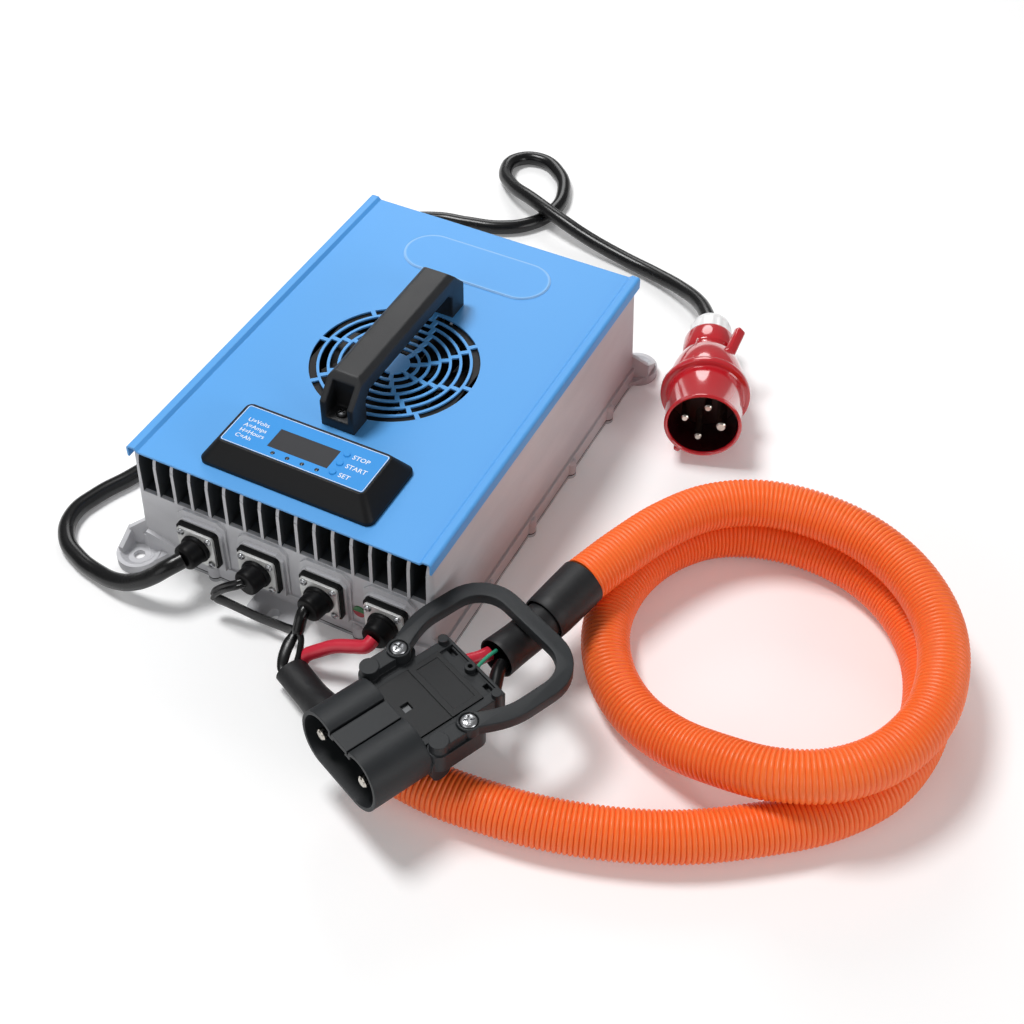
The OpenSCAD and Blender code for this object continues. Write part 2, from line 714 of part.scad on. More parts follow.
module handle() {
    edge = 4;
    color([0.1, 0.1, 0.1]) translate([0, handle_y, cover_z]) difference() {
        intersection() {
            translate([-handle_w / 2, 0, 0]) rotate([90, 0, 90]) linear_extrude(handle_w) handle_side();
            translate([0, handle_l, 0]) rotate([90, 0, 0]) linear_extrude(2 * handle_l) polygon([
                [-handle_w / 2, -1], [handle_w / 2, -1], [handle_w / 2, handle_h - edge],
                [handle_w / 2 - edge, handle_h], [-handle_w / 2 + edge, handle_h],
                [-handle_w / 2, handle_h - edge]]);
        }
        for (my = [0, 1]) mirror([0, my, 0]) {
            translate([-handle_w / 2 + 4.5, handle_l / 2 - handle_foot + 3, handle_floor])
                cube([handle_w - 9, big, handle_h - handle_floor - 5.5]);
            translate([0, handle_screw_y, -1]) cylinder(d = handle_screw_d + 0.6, h = 20);
        }
    }
}

module handle_screws() {
    color([0.75, 0.75, 0.77]) for (sy = [-1, 1]) translate([0, handle_y + sy * handle_screw_y, cover_z]) {
        translate([0, 0, handle_floor]) rotate_extrude() polygon([[0, 0], [4.6, 0], [4.6, 1.6], [3.4, 3], [0, 3]]);
        translate([0, 0, -17]) cylinder(d = handle_screw_d, h = handle_floor + 17);
    }
}

module panel_form(inset, top) {
    hull() {
        translate([0, panel_y, cover_z]) linear_extrude(3) round_rect(panel_w - 2 * inset, panel_d - 2 * inset, 6, $fn = 32);
        translate([0, panel_y, cover_z + top - eps]) linear_extrude(eps)
            round_rect(face_w - 2 * inset, face_d - 2 * inset, 5, $fn = 32);
    }
}

module button_places() {
    for (i = [-1:1]) translate([button_x, panel_y - 2 - i * button_pitch, 0]) children();
}

module lamp_places() {
    for (i = [0:3]) translate([(i - 1.5) * lamp_pitch + 1, lamp_y, 0]) children();
}

module panel_housing() {
    color([0.09, 0.09, 0.09]) {
        difference() {
            panel_form(0, panel_h);
            translate([0, 0, -eps]) panel_form(panel_wall, panel_h - panel_wall);
            translate([0, panel_y, face_z - overlay_t]) linear_extrude(5) round_rect(overlay_w + clear, overlay_d + clear, 2);
            translate([0, window_y, board_z]) linear_extrude(20) square([window_w + clear, window_d + clear], center = true);
            button_places() translate([0, 0, board_z]) cylinder(d = button_d + 0.2, h = 20);
            lamp_places() translate([0, 0, board_z]) cylinder(d = lamp_d + clear, h = 20);
        }
        translate([0, panel_y, board_z + board_t]) four_corners(face_w / 2 - 13, face_d / 2 - 8.5)
            cylinder(d = 5, h = panel_h - (board_z - cover_z) - board_t - panel_wall + 0.5);
    }
}

module panel_overlay() {
    color([0.29, 0.6, 0.95]) difference() {
        translate([0, panel_y, face_z - overlay_t]) linear_extrude(overlay_t) round_rect(overlay_w, overlay_d, 2);
        translate([0, window_y, board_z]) linear_extrude(20) square([window_w + clear, window_d + clear], center = true);
        button_places() translate([0, 0, board_z]) cylinder(d = button_d + 0.2, h = 20);
        lamp_places() translate([0, 0, board_z]) cylinder(d = lamp_d + clear, h = 20);
    }
}

module display_window() {
    color([0.05, 0.05, 0.06]) translate([0, window_y, board_z + board_t])
        linear_extrude(face_z - board_z - board_t) square([window_w, window_d], center = true);
}

module status_lamps() {
    color([0.1, 0.12, 0.2]) lamp_places() translate([0, 0, board_z + board_t]) {
        cylinder(d = lamp_d, h = face_z - board_z - board_t);
        translate([0, 0, face_z - board_z - board_t]) intersection() {
            translate([0, 0, -lamp_d]) sphere(lamp_d * 1.13);
            cylinder(d = lamp_d, h = 1);
        }
    }
}

// Key with a retaining ring under the housing wall
module button(i) {
    low = board_z + board_t + key_h + button_travel + 0.1;
    ring_z = face_z - panel_wall - 0.15;
    color([0.3, 0.62, 0.96]) translate([button_x, panel_y - 2 - i * button_pitch, 0]) {
        translate([0, 0, low]) cylinder(d = button_d, h = face_z - low + 0.4);
        translate([0, 0, face_z + 0.4]) cylinder(d1 = button_d, d2 = button_d - 1, h = 0.5);
        translate([0, 0, ring_z - 1]) cylinder(d = button_d + 2, h = 1);
    }
}

module stop_button() {
    button(-1);
}

module start_button() {
    button(0);
}

module set_button() {
    button(1);
}

module display_board() {
    color([0.1, 0.35, 0.18]) {
        translate([0, panel_y, board_z]) linear_extrude(board_t) round_rect(face_w - 14, face_d - 10, 2);
        button_places() translate([-3, -3, board_z + board_t]) cube([6, 6, key_h]);
        translate([-40, panel_y - 6, board_z - 5]) cube([20, 12, 5]);
    }
}

module connector_gasket(i) {
    color([0.06, 0.06, 0.06]) translate([conn_at(i), 0, conn_z]) forward(step_in_y, gasket_t) difference() {
        round_rect(gasket_w, gasket_w, 3);
        circle(d = conn_bore);
        four_corners(conn_screw_pitch / 2, conn_screw_pitch / 2) circle(d = 3.4);
    }
}

module connector_plate(i) {
    color([0.78, 0.78, 0.78]) translate([conn_at(i), 0, conn_z]) forward(gasket_y, plate_t) difference() {
        round_rect(plate_w, plate_w, 2.5);
        circle(d = conn_bore);
        four_corners(conn_screw_pitch / 2, conn_screw_pitch / 2) circle(d = 3.4);
    }
}

module cable_boot(i) {
    back = plate_y - half_d(0) + 14;
    end_r = boot_d / 2 - 1.6;
    color([0.05, 0.05, 0.05]) translate([conn_at(i), -plate_y, conn_z]) {
        rotate([90, 0, 0]) rotate_extrude() polygon([
            [0, -back], [conn_bore / 2 - clear, -back], [conn_bore / 2 - clear, 0], [boot_d / 2, 0],
            [boot_d / 2, collar_l - 1], [boot_d / 2 - 1, collar_l], [0, collar_l]]);
        translate([0, -collar_l, 0]) rotate([90, 0, -boot_lean[i]]) rotate_extrude() polygon([
            [0, -1.6], [end_r, -1.6], [end_r, boot_run * 0.6], [end_r - 0.5, boot_run * 0.85],
            [end_r - 1.6, boot_run], [0, boot_run]]);
    }
}

module connector_gasket_1() {
    connector_gasket(0);
}

module connector_gasket_2() {
    connector_gasket(1);
}

module connector_gasket_3() {
    connector_gasket(2);
}

module connector_gasket_4() {
    connector_gasket(3);
}

module connector_plate_1() {
    connector_plate(0);
}

module connector_plate_2() {
    connector_plate(1);
}

module connector_plate_3() {
    connector_plate(2);
}

module connector_plate_4() {
    connector_plate(3);
}

module cable_boot_1() {
    cable_boot(0);
}

module cable_boot_2() {
    cable_boot(1);
}

module cable_boot_3() {
    cable_boot(2);
}

module cable_boot_4() {
    cable_boot(3);
}

module connector_screws() {
    color([0.8, 0.8, 0.8]) for (i = [0:3], sx = [-1, 1], sz = [-1, 1])
        translate([conn_at(i), -plate_y, conn_z] + [sx, 0, sz] * conn_screw_pitch / 2) rotate([90, 0, 0]) {
            rotate_extrude() polygon([[0, 0], [2.8, 0], [2.8, 0.9], [2, 1.9], [0, 2.1]]);
            translate([0, 0, -plate_t - gasket_t - 8]) cylinder(d = 3, h = plate_t + gasket_t + 8);
        }
}

module status_dot() {
    color([0.1, 0.4, 0.2]) status_dot_place() cylinder(d = dot_d, h = 2);
}

// Electronics on the base plate posts

module main_board() {
    color([0.1, 0.35, 0.18]) translate([0, 0, main_board_z]) linear_extrude(1.6)
        round_rect(main_board_w, main_board_d, 4);
}

module transformer_core() {
    color([0.2, 0.2, 0.2]) translate([core_at[0], core_at[1], main_board_z + 1.6]) difference() {
        translate([-core_w / 2, -core_w / 2, 0]) cube([core_w, core_w, core_h]);
        for (sx = [-1, 1]) translate([sx * (core_leg / 2 + 8) - 8, -core_w, 8]) cube([16, 2 * core_w, core_h - 16]);
    }
}

module transformer_coil() {
    color([0.72, 0.45, 0.2]) translate([core_at[0], core_at[1], main_board_z + 9.6])
        linear_extrude(core_h - 17) difference() {
            round_rect(core_leg + 31, core_w + 26, 8);
            square([core_leg, core_w], center = true);
        }
}

module bus_capacitors() {
    color([0.15, 0.2, 0.35]) for (i = [0:3])
        translate([choke_at[0] + 5, choke_at[1] - 180 + i * (capacitor_d + 4), main_board_z + 1.6])
            cylinder(d = capacitor_d, h = capacitor_h);
}

module output_choke() {
    color([0.7, 0.5, 0.15]) translate([choke_at[0], choke_at[1], main_board_z + 1.6]) rotate_extrude()
        translate([12, 0]) square([16, 26]);
}

// Leads

module mains_cord() {
    color([0.06, 0.06, 0.06]) sweep(mains_route, even(mains_route, cord_d / 2), 8);
}

module signal_cable() {
    color([0.08, 0.08, 0.08]) sweep(signal_route, even(signal_route, signal_d / 2), 8);
}

module negative_cable() {
    color([0.06, 0.06, 0.06]) sweep(negative_route, cable_d * negative_r, 8);
}

module positive_cable() {
    color([0.75, 0.1, 0.15]) sweep(positive_route, even(positive_route, cable_d / 2), 8);
}

module front_sleeve() {
    color([0.08, 0.08, 0.08]) sweep(front_sleeve_route, front_sleeve_r, 12);
}

module conduit() {
    color([0.98, 0.36, 0.1]) sweep(conduit_route, even(conduit_route, conduit_d / 2), 12);
}

module rear_sleeve() {
    color([0.08, 0.08, 0.08]) sweep(rear_sleeve_route, rear_sleeve_r, 12);
}

module positive_tail() {
    color([0.75, 0.1, 0.15]) sweep(positive_tail_route, even(positive_tail_route, cable_d / 2), 8);
}

module negative_tail() {
    color([0.06, 0.06, 0.06]) sweep(negative_tail_route, even(negative_tail_route, cable_d / 2), 8);
}

module pilot_wire() {
    color([0.1, 0.6, 0.45]) sweep(pilot_route, even(pilot_route, pilot_d / 2), 8);
}

// Mains plug, its open end at the origin facing -Y, lying on its flange

module plug_frame() {
    translate(plug_at) rotate([0, 0, plug_turn]) rotate([-90 - plug_pitch, 0, 0]) children();
}

module plug_shroud() {
    r = shroud_d / 2;
    wall = 3;
    color([0.75, 0.08, 0.1]) plug_frame() {
        rotate_extrude($fn = 96) polygon([[r - wall, 0.8], [r - 0.8, 0], [r, 0.8], [r + 0.6, shroud_l - 4],
            [flange_d / 2 - 1, shroud_l - 4], [flange_d / 2, shroud_l - 3], [flange_d / 2, shroud_l + 2],
            [flange_d / 2 - 1.5, shroud_l + 3], [r + 1, shroud_l + 4], [r - wall, shroud_l + 4]]);
        rotate(123) translate([r - 0.5, -2.5, 1]) cube([5, 5, shroud_l - 4]);
    }
}

module plug_insert() {
    color([0.2, 0.03, 0.04]) plug_frame() difference() {
        translate([0, 0, shroud_l - 4]) cylinder(r = shroud_d / 2 - 3 - clear, h = 8, $fn = 96);
        pin_places() translate([0, 0, -1]) cylinder(d = 6, h = big);
        earth_place() translate([0, 0, -1]) cylinder(d = 8, h = big);
    }
}

module pin_places() {
    for (a = [100, 190, 280]) rotate(a) translate([pin_circle / 2, 0, 0]) children();
}

module earth_place() {
    rotate(10) translate([pin_circle / 2, 0, 0]) children();
}

module contact(d, l) {
    rotate_extrude() polygon([[0, 0], [d / 2 - 1, 0], [d / 2, 1], [d / 2, l], [0, l]]);
}

module plug_phase_pins() {
    color([0.85, 0.85, 0.83]) plug_frame() pin_places() translate([0, 0, 4]) contact(6, shroud_l);
}

module plug_earth_pin() {
    color([0.85, 0.85, 0.83]) plug_frame() earth_place() translate([0, 0, 4]) contact(8, shroud_l);
}

module plug_body() {
    y0 = shroud_l + 4;
    y1 = shroud_l + barrel_l;
    color([0.75, 0.08, 0.1]) plug_frame() {
        rotate_extrude($fn = 96) polygon(concat([[0, y0], [30.5, y0]],
            [for (t = [0:0.125:1]) [30.5 - 11 * pow(t, 2.2), y0 + 1 + t * (barrel_l - 28)]],
            [[21.5, y1 - 22], [21.5, y1 - 3], [20, y1], [0, y1]]));
        rotate(-46) translate([18, -3.5, y1 - 38]) rotate([0, 24, 0]) cube([6, 7, 30]);
    }
}

module plug_gland_nut() {
    y1 = shroud_l + barrel_l;
    color([0.92, 0.92, 0.9]) plug_frame() rotate_extrude() polygon([[0, y1], [17.5, y1], [17.5, y1 + nut_l],
        [16, y1 + nut_l + 5], [11, y1 + nut_l + 8], [0, y1 + nut_l + 8]]);
}

// Battery connector, contacts along the Y axis, mouth facing -Y

module din_frame() {
    translate(din_at) rotate([0, 0, din_turn]) children();
}

// Two barrels with a flat strip between them; shrunk it is the hollow inside
module mouth_section(shrink) {
    top = barrel_r - 3 - shrink - (shrink > 0 ? 0.6 : 0);
    translate([0, -barrel_drop]) difference() {
        union() {
            for (s = [-1, 1]) translate([s * barrel_x, 0]) circle(barrel_r - shrink);
            translate([-barrel_x, shrink - barrel_r]) square([2 * barrel_x, top + barrel_r - shrink]);
        }
        for (s = [-1, 1]) if (shrink == 0)
            translate([s * 9.1 - 0.9, top - 2.4]) square([1.8, big]);
        else
            translate([s * 9.1 - 2.6, top - 1.8]) square([5.2, big]);
    }
}

module din_lug(s) {
    translate([0, 0, -6]) linear_extrude(lug_top + 6) {
        bar([s * lug_x, -knob_y], [s * lug_x, 4], 15);
        translate([s > 0 ? rear_x - 2 : -lug_x, -knob_y]) square([lug_x - rear_x + 2, knob_y + 4]);
    }
    difference() {
        translate([0, 0, lug_top - 1]) linear_extrude(8) bar([s * lug_x, -knob_y], [s * lug_x, -6], 11);
        translate([s * lug_x, 0, lug_top - 3]) cylinder(r = 8.3, h = 20);
    }
    translate([s * lug_x, -knob_y, -5]) cylinder(d = 13, h = lug_top + 13);
    translate([s * lug_x - 4, 0, 0]) rotate([90, 0, 90]) linear_extrude(8) bar([-25, -11], [-25, -2], 14.4);
}

module din_housing() {
    mouth_y = 31;
    floor_t = 6;
    color([0.2, 0.21, 0.23]) din_frame() {
        difference() {
            union() {
                forward(mouth_y, mouth_l + 3.4) mouth_section(0);
                forward(mouth_y - rear_l, rear_l + 1) difference() {
                    translate([-rear_x, -barrel_r + 3]) square([2 * rear_x, barrel_r + 6]);
                    for (s = [-1, 1]) translate([s * rear_x - 3, -barrel_r]) square([6, 6]);
                }
                for (s = [-1, 1]) {
                    din_lug(s);
                    translate([s * (rear_x - 1.8), ring_y - 0.5, -4]) cylinder(d = 7, h = 17);
                }
            }
            forward(mouth_y + floor_t, mouth_l + 20) mouth_section(mouth_wall);
            translate([-big / 2, -mouth_y - mouth_l, -barrel_drop]) rotate([-rim_slant, 0, 0])
                translate([0, -big, -big / 2]) cube([big, big, big]);
            translate([-24 - clear, -29 - clear, 6]) cube([48 + 2 * clear, 51 + 2 * clear, 20]);
            translate([-23, 20, 7]) cube([46, rear_l - mouth_y - 22, 20]);
            for (s = [-1, 1]) {
                translate([s * contact_pitch / 2, 0, 0]) rotate([90, 0, 0])
                    translate([0, 0, -26]) cylinder(d = 8.4, h = 120);
                translate([s * 19 - 4, ring_y - 2, 3]) cube([8, 4, 20]);
                translate([s * lug_x, 0, -8]) cylinder(d = 5, h = 30);
            }
        }
        translate([0, ring_y, 5]) difference() {
            cylinder(d = 7.6, h = 6.5);
            translate([0, 0, 1]) cylinder(d = 3.4, h = 20);
        }
    }
}

module din_cover() {
    color([0.15, 0.155, 0.17]) din_frame() translate([0, 0, 6]) difference() {
        translate([-24, -29, 0]) cube([48, 51, 4]);
        translate([-30, -3.6, 3.2]) cube([60, 0.8, 5]);
        translate([-3.2, -24.4, -1]) cube([6.4, 6.4, 10]);
        translate([-20, 1.5, 3.5]) cube([40, 17, 5]);
    }
}

module din_voltage_key() {
    color([0.75, 0.76, 0.77]) din_frame() translate([-3, -24.2, 6]) cube([6, 6, 1.4]);
}

module din_pins() {
    color([0.85, 0.78, 0.66]) din_frame() for (s = [-1, 1])
        translate([s * contact_pitch / 2, -73, 0]) rotate([-90, 0, 0]) contact(8.4, 73 + 26);
}

module din_handle() {
    far = bail_reach;
    bend = 26.4;
    half = concat([for (t = [0:0.125:1]) [lug_x + (bail_x - lug_x) * sin(90 * t), 36 * t]],
        [for (a = [0:10:90]) [bail_x - bend + bend * cos(a), far - bend + bend * sin(a)]]);
    path = concat(half, [for (i = [len(half) - 1:-1:0]) [-half[i][0], half[i][1]]]);
    color([0.22, 0.23, 0.25]) din_frame() translate([0, 0, lug_top]) difference() {
        linear_extrude(bail_t) {
            strip(path, bail_w);
            for (s = [-1, 1]) translate([s * lug_x, 0]) circle(d = 16);
        }
        for (s = [-1, 1]) translate([s * lug_x, 0, -1]) {
            cylinder(d = 5.3, h = 40);
            translate([0, 0, bail_t - head_sink + 1]) cylinder(d = 12.6, h = 20);
        }
    }
}

module din_handle_screws() {
    color([0.85, 0.85, 0.85]) din_frame() for (s = [-1, 1]) translate([s * lug_x, 0, lug_top + bail_t - head_sink]) {
        rotate_extrude() polygon([[0, 0], [5.5, 0], [5.5, 1.4], [4, 2.6], [0, 3]]);
        translate([0, 0, -bail_t - 8]) cylinder(d = 5, h = bail_t + 8.5);
    }
}

case();
base_plate();
base_gasket();
base_screws();
top_cover();
fan_frame();
fan_rotor();
fan_screws();
handle();
handle_screws();
panel_housing();
panel_overlay();
display_window();
status_lamps();
stop_button();
start_button();
set_button();
display_board();
connector_gasket_1();
connector_gasket_2();
connector_gasket_3();
connector_gasket_4();
connector_plate_1();
connector_plate_2();
connector_plate_3();
connector_plate_4();
cable_boot_1();
cable_boot_2();
cable_boot_3();
cable_boot_4();
connector_screws();
status_dot();
main_board();
transformer_core();
transformer_coil();
bus_capacitors();
output_choke();
mains_cord();
signal_cable();
negative_cable();
positive_cable();
front_sleeve();
conduit();
rear_sleeve();
positive_tail();
negative_tail();
pilot_wire();
plug_shroud();
plug_body();
plug_gland_nut();
plug_insert();
plug_phase_pins();
plug_earth_pin();
din_housing();
din_cover();
din_voltage_key();
din_pins();
din_handle();
din_handle_screws();
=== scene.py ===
"""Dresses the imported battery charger: finishes, leads, plugs, studio and camera.

Everything is made in metres in the CAD's frame. The object's sizes are written in millimetres and
scaled by MM, and the lamps and the floor are written in metres.
"""
import bisect
import json
import math

import bmesh
import bpy
from mathutils import Matrix, Vector


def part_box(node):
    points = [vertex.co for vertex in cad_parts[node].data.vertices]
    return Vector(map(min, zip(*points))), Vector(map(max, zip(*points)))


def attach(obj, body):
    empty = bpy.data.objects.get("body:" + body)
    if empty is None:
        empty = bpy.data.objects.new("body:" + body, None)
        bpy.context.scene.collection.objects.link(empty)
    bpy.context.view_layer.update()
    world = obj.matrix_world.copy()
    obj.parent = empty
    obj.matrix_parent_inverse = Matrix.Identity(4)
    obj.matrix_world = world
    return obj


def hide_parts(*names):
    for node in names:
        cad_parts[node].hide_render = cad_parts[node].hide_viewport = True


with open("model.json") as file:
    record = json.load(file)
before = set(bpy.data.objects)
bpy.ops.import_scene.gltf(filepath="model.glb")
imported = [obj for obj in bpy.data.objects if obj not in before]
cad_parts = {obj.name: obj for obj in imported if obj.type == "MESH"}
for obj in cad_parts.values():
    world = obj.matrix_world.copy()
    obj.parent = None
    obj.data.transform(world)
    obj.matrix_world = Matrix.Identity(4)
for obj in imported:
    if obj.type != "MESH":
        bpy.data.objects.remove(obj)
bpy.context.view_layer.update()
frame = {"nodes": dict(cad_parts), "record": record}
scene = bpy.context.scene
scene.view_settings.view_transform = "Standard"

MM = 0.001
UP = Vector((0, 0, 1))
nodes = frame["nodes"]

# Sizes and places that several sections share
PLUG_AT = Vector((208.5, 104.5, 39.76))
PLUG_TURN, PLUG_PITCH = math.radians(18.5), math.radians(5)
SHROUD_L, SHROUD_D, SHROUD_WALL = 42, 60, 3
COVER_Z, BEAD_L, BEAD_W, BEAD_Y = 105, 126, 46, 126
DECK_Z, FIN_FACE_Y, FIN_SPAN = 63, 167, 236


# Shading

class Value:
    """A socket whose arithmetic adds Math nodes to its finish."""

    def __init__(self, finish, socket):
        self.finish, self.socket = finish, socket

    def math(self, operation, *terms):
        sockets = dict(enumerate(terms))
        return self.finish.node("ShaderNodeMath", {"operation": operation}, sockets)

    def __add__(self, other):
        return self.math("ADD", self, other)

    def __sub__(self, other):
        return self.math("SUBTRACT", self, other)

    def __rsub__(self, other):
        return self.math("SUBTRACT", other, self)

    def __mul__(self, other):
        return self.math("MULTIPLY", self, other)

    def __truediv__(self, other):
        return self.math("DIVIDE", self, other)

    def __gt__(self, other):
        return self.math("GREATER_THAN", self, other)

    def __lt__(self, other):
        return self.math("LESS_THAN", self, other)

    __radd__, __rmul__ = __add__, __mul__

    def wave(self):
        return self.math("SINE", self)

    def root(self):
        return self.math("SQRT", self)

    def size(self):
        return self.math("ABSOLUTE", self)

    def most(self, other):
        return self.math("MAXIMUM", self, other)


class Finish:
    """One procedural material on a Principled shader, read in Object coordinates."""

    def __init__(self, name, colour, roughness=0.5, metallic=0.0, **more):
        self.material = bpy.data.materials.new(name)
        self.material.use_nodes = True
        self.tree = self.material.node_tree
        self.tree.nodes.clear()
        self.shader = self.tree.nodes.new("ShaderNodeBsdfPrincipled")
        output = self.tree.nodes.new("ShaderNodeOutputMaterial")
        self.tree.links.new(self.shader.outputs["BSDF"], output.inputs["Surface"])
        self.place = self.node("ShaderNodeTexCoord", pick="Object")
        self.set("Base Color", colour)
        self.set("Roughness", roughness)
        self.set("Metallic", metallic)
        for name, value in more.items():
            self.set(name.replace("_", " "), value)

    def join(self, socket, value):
        if isinstance(value, Value):
            self.tree.links.new(value.socket, socket)
        elif socket.type == "RGBA" and len(value) == 3:
            socket.default_value = (*value, 1)
        else:
            socket.default_value = value

    def set(self, name, value):
        self.join(self.shader.inputs[name], value)

    def node(self, kind, settings=None, sockets=None, pick=0):
        made = self.tree.nodes.new(kind)
        for name, value in (settings or {}).items():
            if name == "stops":
                ramp = made.color_ramp
                while len(ramp.elements) < len(value):
                    ramp.elements.new(0.5)
                for element, (place, shade) in zip(ramp.elements, value):
                    element.position, element.color = place, (shade, shade, shade, 1)
            else:
                setattr(made, name, value)
        for key, value in (sockets or {}).items():
            self.join(made.inputs[key], value)
        return Value(self, made.outputs[pick])

    def noise(self, scale, detail=3, roughness=0.5, place=None):
        sockets = {"Vector": place or self.place, "Scale": scale, "Detail": detail, "Roughness": roughness}
        return self.node("ShaderNodeTexNoise", None, sockets)

    def ramp(self, value, *stops):
        return self.node("ShaderNodeValToRGB", {"stops": stops}, {"Fac": value})

    def mix(self, amount, first, second):
        sockets = {0: amount, 6: first, 7: second}
        return self.node("ShaderNodeMix", {"data_type": "RGBA"}, sockets, pick=2)

    def axis(self, name, vector=None):
        return self.node("ShaderNodeSeparateXYZ", None, {0: vector or self.place}, pick=name)

    def stretched(self, x, y, z, turn=(0, 0, 0)):
        sockets = {"Vector": self.place, "Scale": (x, y, z), "Rotation": turn}
        return self.node("ShaderNodeMapping", None, sockets)

    def rounded(self, radius):
        """Normal with the sharp edges rounded off."""
        return self.node("ShaderNodeBevel", {"samples": 6}, {"Radius": radius * MM})

    def bump(self, height, depth, normal=None):
        """Raises the surface by up to depth millimetres, in shading alone."""
        sockets = {"Height": height, "Distance": depth * MM, "Strength": 1.0}
        if normal:
            sockets["Normal"] = normal
        self.set("Normal", self.node("ShaderNodeBump", None, sockets))

    def edge(self, radius):
        """Mask that is 1 on sharp edges, from how far the rounded normal leaves the true one."""
        sockets = {0: self.rounded(radius), 1: self.node("ShaderNodeNewGeometry", pick="Normal")}
        dot = self.node("ShaderNodeVectorMath", {"operation": "DOT_PRODUCT"}, sockets, pick="Value")
        return self.ramp(1 - dot, (0.02, 0), (0.2, 1))


def srgb(code):
    """Linear colour from a hex code."""
    parts = [int(code[i:i + 2], 16) / 255 for i in (0, 2, 4)]
    return tuple(p / 12.92 if p <= 0.04045 else ((p + 0.055) / 1.055) ** 2.4 for p in parts)


# Painted shade deep inside the mains plug's hollow
HOLLOW_SHADE = "26060A"


def moulded(name, code, lighter, roughness, grain, depth=0.03, edge=0.4, dark=None, **more):
    """Moulded plastic or rubber: fine grain, faint blotches, shinier edges; an optional mask gets painted
    shade, as in a deep hollow.
    """
    f = Finish(name, srgb(code), roughness, **more)
    blotch = f.noise(35, 4)
    fine = f.noise(grain, 2, 0.6)
    pale_edge = f.edge(edge)
    body = f.mix(blotch * 0.5 + pale_edge * 0.4, srgb(code), srgb(lighter))
    # Painted shade: where the mask is set, the colour goes nearly black.
    f.set("Base Color", f.mix(dark(f), body, srgb(HOLLOW_SHADE)) if dark else body)
    f.set("Roughness", roughness - 0.06 + blotch * 0.12 - pale_edge * 0.08)
    f.bump(fine, depth, f.rounded(edge))
    return f.material


def metal(name, code, darker, roughness, grain, depth=0.02, edge=0.25, stretch=(1, 1, 1), **more):
    """Bare metal with a fine directional grain and a little grime."""
    f = Finish(name, srgb(code), roughness, 1.0, **more)
    grime = f.noise(60, 5)
    fine = f.noise(grain, 3, 0.6, f.stretched(*stretch))
    f.set("Base Color", f.mix(f.ramp(grime, (0.35, 0), (0.75, 1)), srgb(code), srgb(darker)))
    f.set("Roughness", roughness - 0.05 + fine * 0.14)
    f.bump(fine, depth, f.rounded(edge))
    return f.material


def inside_shroud(f):
    """Mask of the mains plug's hollow, where shade is painted, measured in the plug's own frame."""
    own = f.node("ShaderNodeMapping", {"vector_type": "TEXTURE"}, {
        "Vector": f.place, "Location": PLUG_AT * MM, "Rotation": (-math.pi / 2 - PLUG_PITCH, 0, PLUG_TURN)})
    x, y, z = (f.axis(name, own) for name in "XYZ")
    bore = (SHROUD_D / 2 - SHROUD_WALL + 0.3) * MM
    front, back = 2.5 * MM, (SHROUD_L + 2) * MM
    return (x * x + y * y < bore ** 2) * (z > front) * (z < back)


def cast_finish():
    """Blasted die casting: fine sandy grain, faint flow marks, brighter edges, painted shade between the
    fins.
    """
    f = Finish("cast_aluminium", srgb("C8C8CB"), 0.55, 0.1)
    flow = f.noise(9, 5, 0.6, f.stretched(1, 1, 3))
    sand = f.noise(1900, 2, 0.7)
    pale_edge = f.edge(0.7)
    body = f.mix(f.ramp(flow, (0.3, 0), (0.7, 1)), srgb("C0C0C4"), srgb("CECED1"))
    body = f.mix(pale_edge * 0.6, body, srgb("E4E4E6"))
    # Painted shade: the fin cheeks and the deck between the fins turn dark grey, where the gaps lie in
    # shadow.
    cheek = f.axis("X", f.node("ShaderNodeNewGeometry", pick="Normal")).size() > 0.6
    floor = (f.axis("Z") < (DECK_Z + 1) * MM) * (f.axis("Y").size() < (FIN_FACE_Y - 2) * MM)
    above = f.axis("Z") > (DECK_Z - 0.5) * MM
    recess = cheek.most(floor) * above * (f.axis("X").size() < FIN_SPAN / 2 * MM)
    f.set("Base Color", f.mix(recess, body, srgb("3F4245")))
    f.set("Roughness", 0.46 + sand * 0.16 - pale_edge * 0.1)
    f.bump(sand, 0.05, f.rounded(0.7))
    return f.material


def cover_finish():
    """Satin powder coat: faint orange peel, with painted highlights on the folds and round the bead."""
    f = Finish("blue_paint", srgb("57A4E7"), 0.45, 0, Specular_IOR_Level=0.35)
    cloud = f.noise(5, 3)
    peel = f.noise(620, 2, 0.5)
    pale_edge = f.edge(0.6)
    body = f.mix(cloud, srgb("519FE3"), srgb("5CA7EB"))
    # Painted highlight: the sharp edges and the bead's brow are mixed towards pale blue.
    f.set("Base Color", f.mix((pale_edge * 0.5).most(painted_bead_highlight(f) * 0.5), body, srgb("B4DAFA")))
    f.set("Roughness", 0.42 + cloud * 0.08)
    f.bump(peel, 0.035, f.rounded(0.6))
    return f.material


def painted_bead_highlight(f):
    """Mask of the painted highlight along the brow of the pressed bead."""
    along = (f.axis("X").size() - (BEAD_L - BEAD_W) / 2 * MM).most(0)
    across = f.axis("Y") - BEAD_Y * MM
    off = ((along * along + across * across).root() - (BEAD_W / 2 - 0.6) * MM).size()
    return f.ramp(off / (2 * MM), (0.3, 1), (1, 0)) * (f.axis("Z") > COVER_Z * MM)


def film_finish():
    """Printed polyester film: satin, with a hair-fine texture."""
    f = Finish("blue_film", srgb("2F92DF"), 0.5, Specular_IOR_Level=0.3)
    cloud = f.noise(14, 2)
    f.set("Base Color", f.mix(cloud, srgb("2A8EDB"), srgb("3496E3")))
    f.bump(f.noise(2600, 1), 0.012)
    return f.material


def display_finish():
    """Dark display glass with a faint cloud behind it."""
    f = Finish("dark_display", srgb("303136"), 0.4, Specular_IOR_Level=0.3)
    f.set("Base Color", f.mix(f.noise(40, 2), srgb("25262A"), srgb("2D2E32")))
    return f.material


